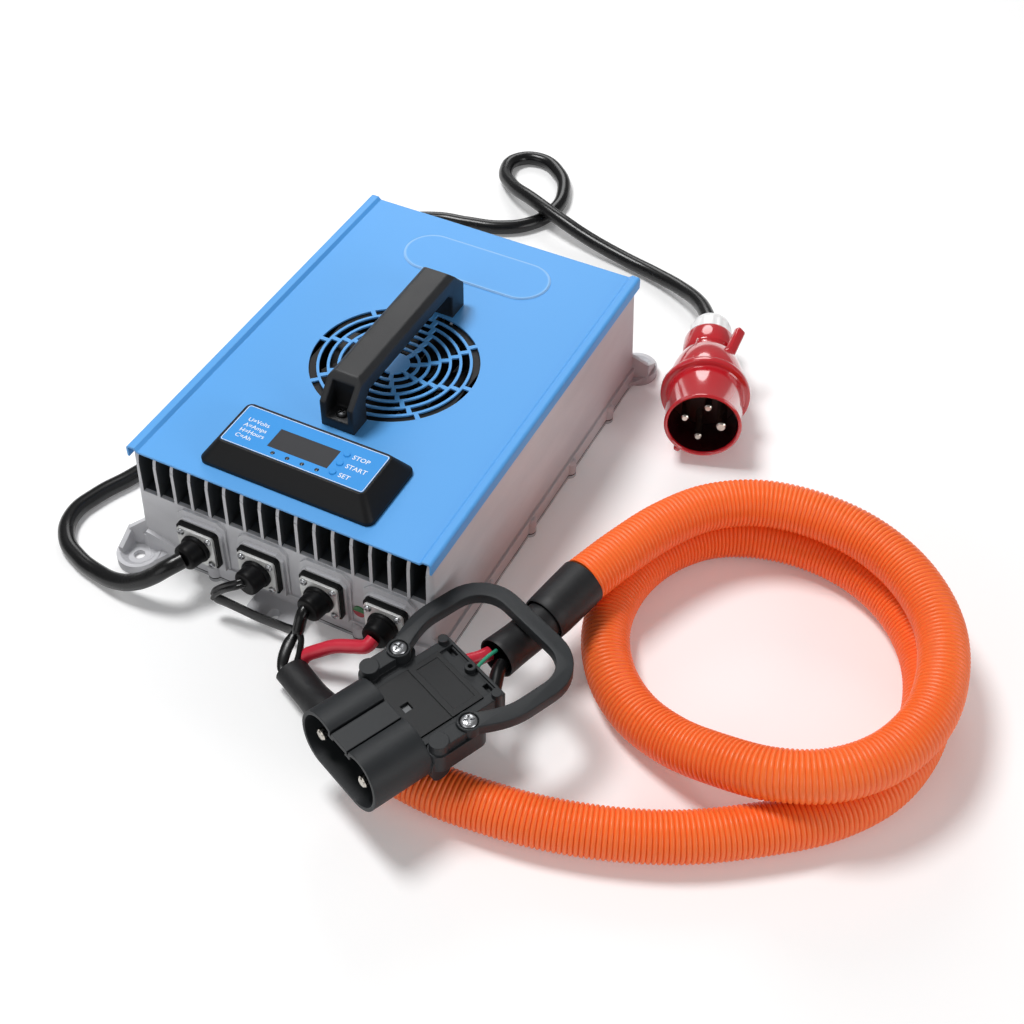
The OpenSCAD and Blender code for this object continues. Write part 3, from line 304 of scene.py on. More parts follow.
def winding_finish(name, code, darker, pitch):
    """Copper wire laid in turns."""
    f = Finish(name, srgb(code), 0.35, 1.0)
    turns = (f.axis("Z") * (math.tau / (pitch * MM))).wave()
    f.set("Base Color", f.mix(turns * 0.5 + 0.5, srgb(darker), srgb(code)))
    f.bump(turns, 0.3)
    return f.material


def board_finish():
    """Solder-masked board with faint copper tracks."""
    f = Finish("circuit_board", srgb("1E5A35"), 0.35)
    sockets = {"Vector": f.place, "Scale": 120, "Mortar Size": 0.03}
    lanes = f.node("ShaderNodeTexBrick", None, sockets, pick="Fac")
    f.set("Base Color", f.mix(lanes * 0.5, srgb("1E5A35"), srgb("3C7A4C")))
    f.bump(lanes, 0.03)
    return f.material


def conduit_finish():
    """Corrugated polymer: a faint cloud in its colour and a moulded skin."""
    f = Finish("orange_conduit", srgb("FC7230"), 0.38)
    cloud = f.noise(22, 3)
    f.set("Base Color", f.mix(cloud, srgb("FA6B28"), srgb("FF7A33")))
    f.set("Roughness", 0.32 + f.noise(240, 3) * 0.16)
    f.bump(f.noise(700, 2), 0.03)
    return f.material


def shrink_finish():
    """Heat-shrunk tube: matt, with soft lengthwise creases."""
    f = Finish("black_sleeve", srgb("1A1A1B"), 0.5, Specular_IOR_Level=0.35)
    crease = f.noise(90, 4, 0.6, f.stretched(0.35, 1, 1.5, (0, 0, 0.5)))
    f.set("Base Color", f.mix(crease, srgb("161617"), srgb("232325")))
    f.set("Roughness", 0.4 + crease * 0.2)
    f.bump(crease, 0.5)
    return f.material


def two_tone_finish():
    """Lens in two colours, green above and red below."""
    low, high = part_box("status_dot")
    f = Finish("green_lens", srgb("2F7A42"), 0.25, Coat_Weight=0.5)
    upper = f.axis("Z") > (low[2] + high[2]) / 2
    f.set("Base Color", f.mix(upper, srgb("A33038"), srgb("2F7A42")))
    f.bump(f.noise(900, 1), 0.05)
    return f.material


FINISHES = {
    "cast_aluminium": cast_finish(),
    "plated_steel": metal("plated_steel", "C9CACC", "8F9094", 0.28, 900),
    "seal_rubber": moulded("seal_rubber", "080809", "131314", 0.45, 700, 0.05, Specular_IOR_Level=0.12),
    "blue_paint": cover_finish(),
    "black_plastic": moulded("black_plastic", "0D0D0E", "19191B", 0.5, 1500, 0.05, 0.8,
                             Specular_IOR_Level=0.25),
    "blue_film": film_finish(),
    "dark_display": display_finish(),
    "connector_metal": metal("connector_metal", "E4E4E2", "C4C4C2", 0.36, 600, 0.02, 0.3, (1, 1, 6),
                             Metallic=0.45),
    "green_lens": two_tone_finish(),
    "circuit_board": board_finish(),
    "core_iron": metal("core_iron", "5A5A5E", "3A3A3E", 0.5, 300),
    "copper_winding": winding_finish("copper_winding", "C8743C", "6E3A1C", 1.6),
    "capacitor_sleeve": moulded("capacitor_sleeve", "22242C", "3A3E4A", 0.35, 500),
    "black_cable": moulded("black_cable", "0A0A0B", "151517", 0.27, 420, 0.02, Specular_IOR_Level=0.4),
    "red_cable": moulded("red_cable", "CB2238", "E04053", 0.32, 420, 0.03),
    "green_wire": moulded("green_wire", "1F8A6A", "45A98A", 0.4, 420),
    "black_sleeve": shrink_finish(),
    "orange_conduit": conduit_finish(),
    # The plug's red moulding gets painted shade inside the shroud.
    "red_plug": moulded("red_plug", "BB131F", "CF2C36", 0.17, 500, 0.015, 0.8, inside_shroud,
                        Coat_Weight=1, Coat_Roughness=0.04),
    "white_nut": moulded("white_nut", "F0F0F0", "F8F8F8", 0.3, 500),
    "dark_red_insert": moulded("dark_red_insert", "1A0507", "2C080C", 0.4, 600),
    "contact_metal": metal("contact_metal", "D8D2C8", "A8A29A", 0.2, 500),
    "grey_plastic": moulded("grey_plastic", "1E2022", "34373A", 0.5, 1300, 0.06, 0.9,
                            Specular_IOR_Level=0.3),
}
WHITE_INK = moulded("white_ink", "E8EEF4", "F6F9FB", 0.45, 900, 0.01)
HAND_GRIP = moulded("hand_grip", "18191B", "292A2D", 0.52, 1100, 0.12, 2.4)
DARK_SCREW = metal("dark_screw", "4A4B4D", "2A2B2D", 0.4, 900)
NODE_FINISHES = {
    "din_cover": moulded("dark_grey_plastic", "141517", "232527", 0.5, 1300, 0.06, 0.5,
                         Specular_IOR_Level=0.3),
    "din_voltage_key": moulded("key_grey", "6E7072", "85878A", 0.5, 800),
    "status_lamps": moulded("lamp_blue", "0C1622", "16283A", 0.3, 800),
}


# Studio

CAMERA_AT = Vector((466.291, -751.191, 870.192)) * MM
CAMERA_TURN, CAMERA_TILT = math.radians(27.472), math.radians(45.908)
FRAME_PX, FOCAL_PX = 1024, 1561.52
CENTRE_PX = (487.855, 494.695)
SENSOR_MM, NEAREST_M = 36, 0.05
WORLD_LIGHT, FLOOR_REACH, FLOOR_SHADE, FLOOR_LIFT = 0.22, 6, 0.95, 0.1
# Each lamp's name, place, aim, diameter and watts
LAMPS = [
    ("key", (-0.75, 0.05, 2.2), (0.1, 0, 0), 0.75, 37),
    ("front_fill", (-0.55, -2.0, 0.95), (0, -0.1, 0.06), 1.6, 7),
    ("right_fill", (2.2, -0.5, 0.8), (0.1, 0, 0.05), 1.2, 12),
    ("back_sheen", (-0.8, 1.8, 1.3), (0.05, 0.1, 0.1), 1.1, 13),
]


def make_camera():
    """Camera that stands where the photo was taken from."""
    lens = bpy.data.cameras.new("photo_camera")
    lens.sensor_width = SENSOR_MM
    lens.lens = FOCAL_PX / FRAME_PX * lens.sensor_width
    lens.shift_x = (FRAME_PX / 2 - CENTRE_PX[0]) / FRAME_PX
    lens.shift_y = -(FRAME_PX / 2 - CENTRE_PX[1]) / FRAME_PX
    lens.clip_start = NEAREST_M
    camera = bpy.data.objects.new("photo_camera", lens)
    right = Vector((math.cos(CAMERA_TURN), math.sin(CAMERA_TURN), 0))
    back = Vector((math.sin(CAMERA_TURN) * math.cos(CAMERA_TILT),
                   -math.cos(CAMERA_TURN) * math.cos(CAMERA_TILT), math.sin(CAMERA_TILT)))
    turn = Matrix((right, back.cross(right), back)).transposed().to_4x4()
    camera.matrix_world = Matrix.Translation(CAMERA_AT) @ turn
    scene.collection.objects.link(camera)
    scene.camera = camera


def make_lamp(name, at, aim, size, power):
    """Soft round lamp at a place, turned to its aim."""
    lamp = bpy.data.lights.new(name, "AREA")
    lamp.shape, lamp.size, lamp.energy = "DISK", size, power
    thing = bpy.data.objects.new(name, lamp)
    thing.location = at
    thing.rotation_euler = (Vector(aim) - Vector(at)).to_track_quat("-Z", "Y").to_euler()
    scene.collection.objects.link(thing)


def make_studio():
    """Even white surroundings and the lamps."""
    world = bpy.data.worlds.new("studio")
    world.use_nodes = True
    scene.world = world
    light = world.node_tree.nodes["Background"]
    light.inputs["Color"].default_value = (1, 1, 1, 1)
    light.inputs["Strength"].default_value = WORLD_LIGHT
    for lamp in LAMPS:
        make_lamp(*lamp)


def make_floor():
    """Matt white floor that shows a little brighter than it is, without lighting the object more."""
    bm = bmesh.new()
    bmesh.ops.create_grid(bm, x_segments=2, y_segments=2, size=FLOOR_REACH)
    floor = add_piece("floor", bm)
    f = Finish("floor_white", (FLOOR_SHADE,) * 3, 0.75, Emission_Strength=1.0)
    f.set("Roughness", 0.7 + f.noise(30) * 0.1)
    rays = ("Is Camera Ray", "Is Glossy Ray", "Is Transmission Ray")
    camera, glossy, through = (f.node("ShaderNodeLightPath", pick=ray) for ray in rays)
    f.set("Emission Color", f.mix(camera.most(glossy).most(through), (0, 0, 0), (FLOOR_LIFT,) * 3))
    floor.data.materials.append(f.material)


# Mesh helpers

CURVE_STEPS = 40


def add_piece(name, bm, smooth=None):
    """New object from a bmesh; smooth is the angle in degrees under which faces shade as one."""
    mesh = bpy.data.meshes.new(name)
    bm.to_mesh(mesh)
    bm.free()
    thing = bpy.data.objects.new(name, mesh)
    scene.collection.objects.link(thing)
    if smooth is not None:
        mesh.shade_smooth()
        mesh.set_sharp_from_angle(angle=math.radians(smooth))
    return thing


def dress(piece, slot, body="charger", replaced=(), finish=None):
    """Gives a piece its finish, its own or else its slot's, puts it on its body and hides the nodes it
    stands for.
    """
    piece.data.materials.append(finish or FINISHES[slot])
    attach(piece, body)
    if replaced:
        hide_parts(*replaced)
    return piece


def softened(node, name, width, segments, sharp=25, flat=2):
    """Copy of a CAD node with its sharp edges rounded in the mesh."""
    bm = bmesh.new()
    bm.from_mesh(nodes[node].data)
    bmesh.ops.remove_doubles(bm, verts=bm.verts, dist=2e-6)
    bmesh.ops.dissolve_limit(bm, angle_limit=math.radians(flat), verts=bm.verts, edges=bm.edges)
    edges = [e for e in bm.edges if e.calc_face_angle(0) > math.radians(sharp)]
    bmesh.ops.bevel(bm, geom=edges, offset=width * MM, offset_type="OFFSET", segments=segments, profile=0.5,
                    affect="EDGES", clamp_overlap=True, material=-1)
    return add_piece(name, bm, 35)


def lathe(profile, steps=48):
    """Closed shape turned about the Z axis from (radius, height) points."""
    bm = bmesh.new()
    spine = [bm.verts.new((r, 0, z)) for r, z in profile]
    edges = [bm.edges.new(pair) for pair in zip(spine, spine[1:])]
    bmesh.ops.spin(bm, geom=spine + edges, cent=(0, 0, 0), axis=UP, angle=math.tau, steps=steps,
                   use_merge=True)
    bmesh.ops.remove_doubles(bm, verts=bm.verts, dist=1e-4)
    bmesh.ops.recalc_face_normals(bm, faces=bm.faces)
    return bm


def block(bm, size, place=Matrix(), bevel=0.0, segments=2):
    """Box with rounded edges added to a bmesh, centred, then placed."""
    verts = bmesh.ops.create_cube(bm, size=1, matrix=place @ Matrix.Diagonal((*size, 1)))["verts"]
    if bevel:
        edges = list({e for v in verts for e in v.link_edges})
        bmesh.ops.bevel(bm, geom=edges, offset=bevel, segments=segments, profile=0.5, affect="EDGES",
                        clamp_overlap=True, material=-1)
    return bm


def join(bm, other, place=Matrix()):
    """Adds another bmesh to bm at a place, and frees it."""
    bmesh.ops.transform(other, matrix=place, verts=other.verts)
    spare = bpy.data.meshes.new("spare")
    other.to_mesh(spare)
    other.free()
    bm.from_mesh(spare)
    bpy.data.meshes.remove(spare)
    return bm


def placed(name, bm, place, smooth=35):
    """Piece from a bmesh built in millimetres in its own frame."""
    bmesh.ops.transform(bm, matrix=Matrix.Scale(MM, 4) @ place, verts=bm.verts)
    return add_piece(name, bm, smooth)


def carved(bm, cutter):
    """bm with the cutter's volume taken away."""
    stock, tool = add_piece("stock", bm), add_piece("cutter", cutter)
    cut = stock.modifiers.new("cut", "BOOLEAN")
    cut.operation, cut.solver, cut.object = "DIFFERENCE", "EXACT", tool
    seen = stock.evaluated_get(bpy.context.evaluated_depsgraph_get())
    mesh = bpy.data.meshes.new_from_object(seen)
    out = bmesh.new()
    out.from_mesh(mesh)
    for thing in (stock, tool):
        bpy.data.meshes.remove(thing.data)
    bpy.data.meshes.remove(mesh)
    return out


def turned(*parts):
    """Product of moves: a vector shifts, an (angle, axis) pair turns by degrees."""
    out = Matrix()
    for part in parts:
        out = out @ (Matrix.Rotation(math.radians(part[0]), 4, part[1]) if len(part) == 2
                     else Matrix.Translation(part))
    return out


def smooth_route(points, step):
    """Evenly spaced points, about step apart, on a smooth curve through points, all in metres."""
    p = [Vector(q) for q in points]
    p = [2 * p[0] - p[1]] + p + [2 * p[-1] - p[-2]]
    dense = []
    for i in range(1, len(p) - 2):
        knots = [0.0]
        for j in range(3):
            knots.append(knots[-1] + (p[i + j] - p[i + j - 1]).length ** 0.5)
        for k in range(CURVE_STEPS):
            t = knots[1] + (knots[2] - knots[1]) * k / CURVE_STEPS
            dense.append(knot_blend(p[i - 1:i + 3], knots, t))
    dense.append(p[-2])
    runs = [0.0]
    for a, b in zip(dense, dense[1:]):
        runs.append(runs[-1] + (b - a).length)
    count = max(2, round(runs[-1] / step))
    out, j = [], 0
    for k in range(count + 1):
        s = runs[-1] * k / count
        while j < len(runs) - 2 and runs[j + 1] < s:
            j += 1
        share = (s - runs[j]) / max(runs[j + 1] - runs[j], 1e-9)
        out.append(dense[j].lerp(dense[j + 1], share))
    return out


def knot_blend(p, t, x):
    """Point at x on the centripetal curve through four points with knots t."""
    def between(first, second, low, high):
        return first.lerp(second, (x - low) / (high - low))

    a = [between(p[i], p[i + 1], t[i], t[i + 1]) for i in range(3)]
    b = [between(a[i], a[i + 1], t[i], t[i + 2]) for i in range(2)]
    return between(b[0], b[1], t[1], t[2])


def run_length(route):
    """Length of a route from point to point."""
    return sum((b - a).length for a, b in zip(route, route[1:]))


def swept(route, rings, sides, flat=None):
    """Closed skin along a route from (share of the length, millimetres of radius) rings, in their order.

    Rings may turn back on themselves, which leaves a hollow end. flat, if given, takes a ring's share and
    returns its width and height as parts of the radius.
    """
    run = [0.0]
    for a, b in zip(route, route[1:]):
        run.append(run[-1] + (b - a).length)
    places = []
    for share, r in rings:
        s = min(max(share, 0), 1) * run[-1]
        i = min(max(bisect.bisect_right(run, s) - 1, 0), len(route) - 2)
        at = route[i].lerp(route[i + 1], (s - run[i]) / (run[i + 1] - run[i]))
        along = (route[min(i + 2, len(route) - 1)] - route[max(i - 1, 0)]).normalized()
        side = along.cross(UP).normalized()
        wide, high = flat(share) if flat else (1, 1)
        places.append((at, side * (wide * r * MM), side.cross(along) * (high * r * MM)))
    bm = bmesh.new()
    bmesh.ops.create_grid(bm, x_segments=len(places) - 1, y_segments=sides, size=1)
    for v in bm.verts:
        at, side, rise = places[round((v.co.x + 1) / 2 * (len(places) - 1))]
        a = (v.co.y + 1) * math.pi
        v.co = at + side * math.cos(a) + rise * math.sin(a)
    bmesh.ops.remove_doubles(bm, verts=bm.verts, dist=2e-7)
    bmesh.ops.holes_fill(bm, edges=[e for e in bm.edges if e.is_boundary], sides=0)
    bmesh.ops.recalc_face_normals(bm, faces=bm.faces)
    return bm


def strand(points, radius, sides=16, step=1.2):
    """Round wire through points given in millimetres."""
    route = smooth_route(mm(points), step * MM)
    return swept(route, [(k / (len(route) - 1), radius) for k in range(len(route))], sides)


def eased(stops, count):
    """count + 1 rings that blend between (share, millimetres) stops."""
    rings = []
    for k in range(count + 1):
        x = k / count
        for (a, low), (b, high) in zip(stops, stops[1:]):
            if x <= b:
                t = (x - a) / (b - a)
                rings.append((x, low + (high - low) * t * t * (3 - 2 * t)))
                break
    return rings


def round_cord(name, points, diameter):
    """Curve of one open spline through points in metres."""
    curve = bpy.data.curves.new(name, "CURVE")
    curve.dimensions = "3D"
    curve.bevel_depth, curve.bevel_resolution, curve.resolution_u = diameter / 2, 6, 10
    curve.use_fill_caps = True
    spline = curve.splines.new("BEZIER")
    spline.bezier_points.add(len(points) - 1)
    for dot, at in zip(spline.bezier_points, points):
        dot.co = at
        dot.handle_left_type = dot.handle_right_type = "AUTO"
    thing = bpy.data.objects.new(name, curve)
    scene.collection.objects.link(thing)
    return thing


def mm(points):
    """Points in metres from points in millimetres."""
    return [Vector(p) * MM for p in points]


make_camera()
make_studio()
make_floor()


# Leads

CONN_X, CONN_PITCH, CONN_Z, PLATE_Y = -66.5, 51.7, 38.5, 179.957
COLLAR, BOOT_RUN = 4, 10
BOOT_LEAN = [math.radians(a) for a in (12, 10, 8, 0)]
BOOT_END = [(CONN_X + i * CONN_PITCH - BOOT_RUN * math.sin(lean),
             -PLATE_Y - COLLAR - BOOT_RUN * math.cos(lean), CONN_Z) for i, lean in enumerate(BOOT_LEAN)]
PLUG_AXIS = Vector((-math.sin(PLUG_TURN) * math.cos(PLUG_PITCH), math.cos(PLUG_TURN) * math.cos(PLUG_PITCH),
                    -math.sin(PLUG_PITCH)))
BARREL_L, NUT_L, NUT_NOSE = 70, 17, 8
PLUG_END = PLUG_AT + PLUG_AXIS * (SHROUD_L + BARREL_L + NUT_L + NUT_NOSE)

FLOOR_Z = 6.6
MAINS_ROUTE = mm([
    BOOT_END[0], (-75.5, -204, 36), (-85, -210, 28.5), (-99, -214, 19), (-116, -215, 11.5),
    (-136, -212, 7.2),
    *[(x, y, FLOOR_Z) for x, y in (
        (-158, -206.5), (-179, -194.5), (-190, -173), (-186, -147), (-175, -120), (-165, -86), (-160, -40),
        (-158, 15), (-159, 75), (-163, 135), (-169, 190), (-168, 235), (-153, 268), (-127, 286), (-97, 293),
        (-69, 301), (-47, 318), (-36, 346), (-40, 378), (-58, 405), (-84, 417))],
    (-104, 405, 7), (-103, 381, 9), (-84, 357, 14), (-54, 338, 19.8), (-20, 324, 18.5), (16, 315, 13),
    (54, 308, 9), (90, 299, 9.5), (120, 285, 14), (142, 267, 20.5), (155, 250, 25), PLUG_END])
SIGNAL_ROUTE = mm([
    BOOT_END[1], (-21, -200.5, 36.5), (-28, -202.5, 32), (-36.5, -203, 25), (-40, -202.5, 17),
    (-34, -199.5, 13.5), (-22, -197.5, 12.5), (-2, -196.5, 12.5), (17, -196, 13.5), (29, -200, 15),
    (31.5, -210, 16), (31, -219, 14.5), (34.5, -226.5, 12)])
POSITIVE_ROUTE = mm([
    BOOT_END[3], (86.5, -199.5, 36), (77, -201.5, 32.5), (64, -204, 28), (53, -208.5, 22),
    (44, -212.5, 15.5), (42, -217, 10.5), (44.5, -221.2, 9)])
FRONT_SLEEVE = mm([
    (39.5, -225, 11.2), (60, -235.5, 12), (84, -247, 14), (108, -256.5, 16.3), (131, -263, 17.6)])
LOW_Z, HIGH_Z = 17.6, 53
CONDUIT_ROUTE = mm([
    *[(x, y, LOW_Z) for x, y in (
        (131, -263), (156, -266.5), (181, -267.5), (209, -265), (246, -259), (290, -246), (332, -227),
        (372, -200), (406, -171), (431, -135), (441, -95), (438, -54), (424, -17), (396, 17), (360, 37),
        (320, 43), (281, 36), (249, 18), (226, -13), (215, -53), (219, -95), (238, -130))],
    (266, -154, 19), (299, -168, 25), (334, -176, 37), (369, -178, 48),
    *[(x, y, HIGH_Z) for x, y in (
        (403, -165), (429, -136), (443, -96), (441, -55), (427, -17), (398, 16), (361, 36), (320, 42),
        (281, 35), (249, 14), (227, -17), (211, -54))],
    (198, -93, 53.5)])
REAR_SLEEVE = mm([
    (198, -93, 53.5), (193.5, -111.5, 51.8), (189.1, -129.5, 50.3), (184, -147, 49), (174.5, -178, 50)])
POSITIVE_TAIL = mm([(168.8, -176.2, 50.5), (165, -183, 51), (159.5, -190, 52), (154.5, -197, 52.5)])
NEGATIVE_TAIL = mm([(180.2, -179.8, 50.5), (180.8, -187, 50.5), (184, -198, 51.5), (187.6, -208.5, 52.5)])
PILOT_ROUTE = mm([(174.6, -177.7, 58.5), (172.8, -185, 60), (171.2, -193, 60.5), (170.2, -201.5, 60)])
SIGNAL_CORES = [(-16, -191.5, 39.5), (-18, -194, 40), (-21.3, -197, 39.4), (-26.3, -198.4, 36.6),
                (-33.5, -199, 30.6), (-39, -200, 25), (-41, -200.3, 20.5)]
CORE_GAP = Vector((-0.55, 1.05, 1.15))
RIBBON = [(-41.2, -200.3, 19.8), (-34.8, -197.8, 16), (-22.4, -196.7, 13.6), (-6.7, -197, 13),
          (17.4, -196.6, 13.6), (26.4, -198.6, 16.5), (29, -203.5, 19.4), (29.4, -210.5, 18.8),
          (31, -220, 16), (34, -227.5, 13), (38, -230.5, 12)]
NEGATIVE_SHEATH = [(32.6, -190, 38.5), (33, -197, 36), (33.5, -202, 30.5), (34, -205.5, 26.5)]
NEGATIVE_CORE = [(34, -204, 28), (37.2, -206.5, 24), (39.9, -213, 19.6), (42.4, -222.5, 14.5),
                 (46, -228.5, 12.5)]
CORD_D, CONDUIT_D, CABLE_D, SIGNAL_D, PILOT_D = [d * MM for d in (12.8, 34.5, 10, 10, 2.6)]
SIGNAL_CORE_R, NEGATIVE_CORE_R = 2, 2.3
RIB_PITCH, RIB_DEPTH, RINGS_A_RIB = 3.35 * MM, 1.7, 5
LEAD_STEP, MAINS_STEP, CONDUIT_STEP = 1.5 * MM, 4 * MM, 8 * MM
TAILS = [("positive_tail_wire", POSITIVE_TAIL, CABLE_D, "red_cable", "positive_tail"),
         ("negative_tail_wire", NEGATIVE_TAIL, CABLE_D, "black_cable", "negative_tail"),
         ("pilot_tail_wire", PILOT_ROUTE, PILOT_D, "green_wire", "pilot_wire")]


def rib(run):
    """Radius of the conduit in millimetres: round ridges with narrow grooves between."""
    phase = (run / RIB_PITCH) % 1
    return CONDUIT_D / MM / 2 - RIB_DEPTH * (1 - math.sin(math.pi * phase) ** 0.5)


def make_signal():
    """Two cores that fold into a flat ribbon, which turns on its side and goes into the sleeve."""
    bm = bmesh.new()
    for side in (-1, 1):
        join(bm, strand([Vector(p) + CORE_GAP * side for p in SIGNAL_CORES], SIGNAL_CORE_R))
    route = smooth_route(mm(RIBBON), LEAD_STEP)
    last = len(route) - 1
    turn = eased([(0, 0), (0.62, 0), (0.8, 1), (1, 1)], last)
    shares = {x: (0.42 + 0.55 * t, 1 - 0.55 * t) for x, t in turn}
    rings = eased([(0, 3), (0.05, 5), (0.7, 5), (0.85, 4.5), (1, 3.4)], last)
    join(bm, swept(route, rings, 20, shares.get))
    return dress(add_piece("signal_lead", bm, 40), "black_cable", replaced=["signal_cable"])


def make_negative():
    """Sheathed cable that ends in a thinner core before the sleeve."""
    bm = swept(smooth_route(mm(NEGATIVE_SHEATH), 1 * MM), eased([(0, 4.5), (0.9, 4.4), (1, 3.8)], 24), 24)
    join(bm, strand(NEGATIVE_CORE, NEGATIVE_CORE_R))
    dress(add_piece("negative_lead", bm, 40), "black_cable", replaced=["negative_cable"])


def make_positive(path):
    """Round red cable from its boot down to the sleeve."""
    radius = CABLE_D / MM / 2
    bm = swept(path, eased([(0, radius), (1, radius)], 50), 28)
    return dress(add_piece("positive_lead", bm, 40), "red_cable", replaced=["positive_cable"])


def make_front_sleeve():
    """Shrunk tube that gathers the three leads, open and a little flattened at its mouth."""
    def flattened(share):
        return 1 + 0.1 * (1 - share) ** 3, 1 - 0.22 * (1 - share) ** 2

    mouth = [(0.16, 8.2), (0.01, 9.2), (0, 10)]
    skin = eased([(0, 10.8), (0.25, 11), (0.5, 13), (0.75, 15.5), (1, 17.3)], 40)
    bm = swept(smooth_route(FRONT_SLEEVE, 2 * MM), mouth + skin, 40, flattened)
    return dress(add_piece("front_shrink_sleeve", bm, 40), "black_sleeve", replaced=["front_sleeve"])


def make_conduit(path, reach):
    """Corrugated tube, a few rings to each rib."""
    last = len(path) - 1
    bm = swept(path, [(k / last, rib(reach * k / last)) for k in range(last + 1)], 24)
    return dress(add_piece("corrugated_conduit", bm, 60), "orange_conduit", replaced=["conduit"])


def make_rear_sleeve():
    """Two shrunk tubes, the thinner one coming out of the other, with an open end for the tails."""
    outer = [*eased([(0, 17.7), (1, 16.6)], 16)[:7], (0.47, 16.9), (0.476, 16.5), (0.47, 15.8), (0.36, 15.4)]
    inner = [(0.37, 14.1), (0.45, 14.1), (0.55, 14), (0.65, 13.9), (0.75, 13.9), (0.85, 14.1), (0.95, 14.5)]
    mouth = [(0.995, 14.7), (1, 14.4), (0.995, 13.8), (0.8, 12.4)]
    bm = swept(smooth_route(REAR_SLEEVE, 1 * MM), outer + inner + mouth, 48)
    return dress(add_piece("rear_shrink_sleeve", bm, 40), "black_sleeve", replaced=["rear_sleeve"])


def make_leads(plug_parts):
    """Every lead, with the mains lead and the tails as round curves."""
    mains = dress(round_cord("mains_lead", MAINS_ROUTE, CORD_D), "black_cable", replaced=["mains_cord"])
    signal = make_signal()
    signal_path = smooth_route(SIGNAL_ROUTE, LEAD_STEP)
    make_negative()
    positive_path = smooth_route(POSITIVE_ROUTE, LEAD_STEP)
    positive = make_positive(positive_path)
    front = make_front_sleeve()
    conduit_path = smooth_route(CONDUIT_ROUTE, RIB_PITCH / RINGS_A_RIB)
    reach = run_length(conduit_path)
    conduit = make_conduit(conduit_path, reach)
    rear = make_rear_sleeve()

    run_length(smooth_route(MAINS_ROUTE, MAINS_STEP))
    for piece, path, d, i in ((signal, signal_path, SIGNAL_D, 1), (positive, positive_path, CABLE_D, 3)):
        run_length(path)
    smooth_route(CONDUIT_ROUTE, CONDUIT_STEP)
    for name, route, d, slot, node in TAILS:
        dress(round_cord(name, route, d), slot, replaced=[node])


# Fasteners

SCREW_PITCH = 23.4
HANDLE_Y, HANDLE_SCREW_Y, HANDLE_FLOOR = -3, 75, 9
DIN_PLACE = turned((156.5, -231, 56.4), (-24, "Z"))
LUG_X, LUG_TOP, BAIL_T, HEAD_SINK = 37, 9.2, 8.6, 2
# Each head's radius, its height and the width of its slots
CONN_HEAD, HANDLE_HEAD, BAIL_HEAD = (2.8, 2, 0.8), (4.6, 3, 1.2), (5.9, 3, 1.5)


def cross_screw(radius, height, slot):
    """Pan head with a cross recess, standing on the XY plane."""
    dome = [(0, 1), (0.5, 0.97), (0.8, 0.8), (0.96, 0.5), (1, 0.2), (0.97, 0), (0, 0)]
    bm = lathe([(radius * r, height * z) for r, z in dome], 32)
    for turn in (0, 90):
        size = (radius * 1.25, slot, height * 1.3)
        bm = carved(bm, block(bmesh.new(), size, turned((turn, "Z"), (0, 0, height))))
    return bm


def make_screws(name, node, head, places, move=Matrix(), finish=None):
    """One piece with a screw head at each place."""
    bm = bmesh.new()
    for place in places:
        join(bm, head.copy(), place)
    head.free()
    dress(placed(name, bm, move), "plated_steel", replaced=[node], finish=finish)


def make_fasteners():
    """Heads of the screws that show, each turned a little differently."""
    half, sides = SCREW_PITCH / 2, (-1, 1)
    make_screws("connector_screw_heads", "connector_screws", cross_screw(*CONN_HEAD), [
        turned((CONN_X + i * CONN_PITCH + sx * half, -PLATE_Y, CONN_Z + sz * half), (90, "X"),
               (17 * (i * 4 + sx * 2 + sz), "Z")) for i in range(4) for sx in sides for sz in sides])
    make_screws("handle_screw_heads", "handle_screws", cross_screw(*HANDLE_HEAD), [
        turned((0, HANDLE_Y + side * HANDLE_SCREW_Y, COVER_Z + HANDLE_FLOOR), (30 * side, "Z"))
        for side in sides], finish=DARK_SCREW)
    make_screws("bail_screw_heads", "din_handle_screws", cross_screw(*BAIL_HEAD), [
        turned((side * LUG_X, 0, LUG_TOP + BAIL_T - HEAD_SINK), (35 + 20 * side, "Z"))
        for side in sides], DIN_PLACE)


make_fasteners()


# Cable boots and the mains plug

FLANGE_R, KEY_RIB_W, KEY_RIB_TURN = 35.5, 5, 123
BARREL_FOOT, BARREL_END, NECK_L = SHROUD_L + 4, SHROUD_L + BARREL_L, 22
LATCH_SIZE, LATCH_TURN, LATCH_LEAN = (6.6, 8.6, 31), -46, 24
SEAM_SIZE, SEAM_TURNS, SEAM_LEAN = (1.6, 1.4, 40), (64, 244), -9
NUT_R, NUT_FLUTES, FLUTE_DEPTH = 17.5, 16, 0.9
BOOT_COLLAR = [(0, -14), (9.8, -14), (9.8, 0), (11.75, 0), (11.75, 2), (11.5, 2.8), (10.9, 3.3), (10, 3.5),
               (0, 3.5)]
BOOT_NOSE = [(0, -1.6), (10.3, -1.6), (10.15, 5), (10.05, 7.4), (9.7, 8.8), (8.9, 9.7), (7.6, 10), (0, 10)]


def make_boots():
    """Rubber boot on each connector, leaning the way its lead goes."""
    for i, lean in enumerate(BOOT_LEAN):
        base = turned((CONN_X + i * CONN_PITCH, -PLATE_Y, CONN_Z), (90, "X"))
        bm = lathe(BOOT_COLLAR)
        join(bm, lathe(BOOT_NOSE), turned((0, 0, COLLAR), (-math.degrees(lean), "Y")))
        boot = placed(f"cable_gland_boot_{i + 1}", bm, base)
        dress(boot, "seal_rubber", replaced=[f"cable_boot_{i + 1}"])


def ridged(bm, low, high, count, depth):
    """Presses even flutes into the part of a turned shape between two heights."""
    for v in bm.verts:
        if low < v.co.z < high:
            r = v.co.xy.length
            dip = depth * (0.5 - 0.5 * math.cos(count * math.atan2(v.co.y, v.co.x)))
            v.co.xy *= (r - dip) / r
    return bm


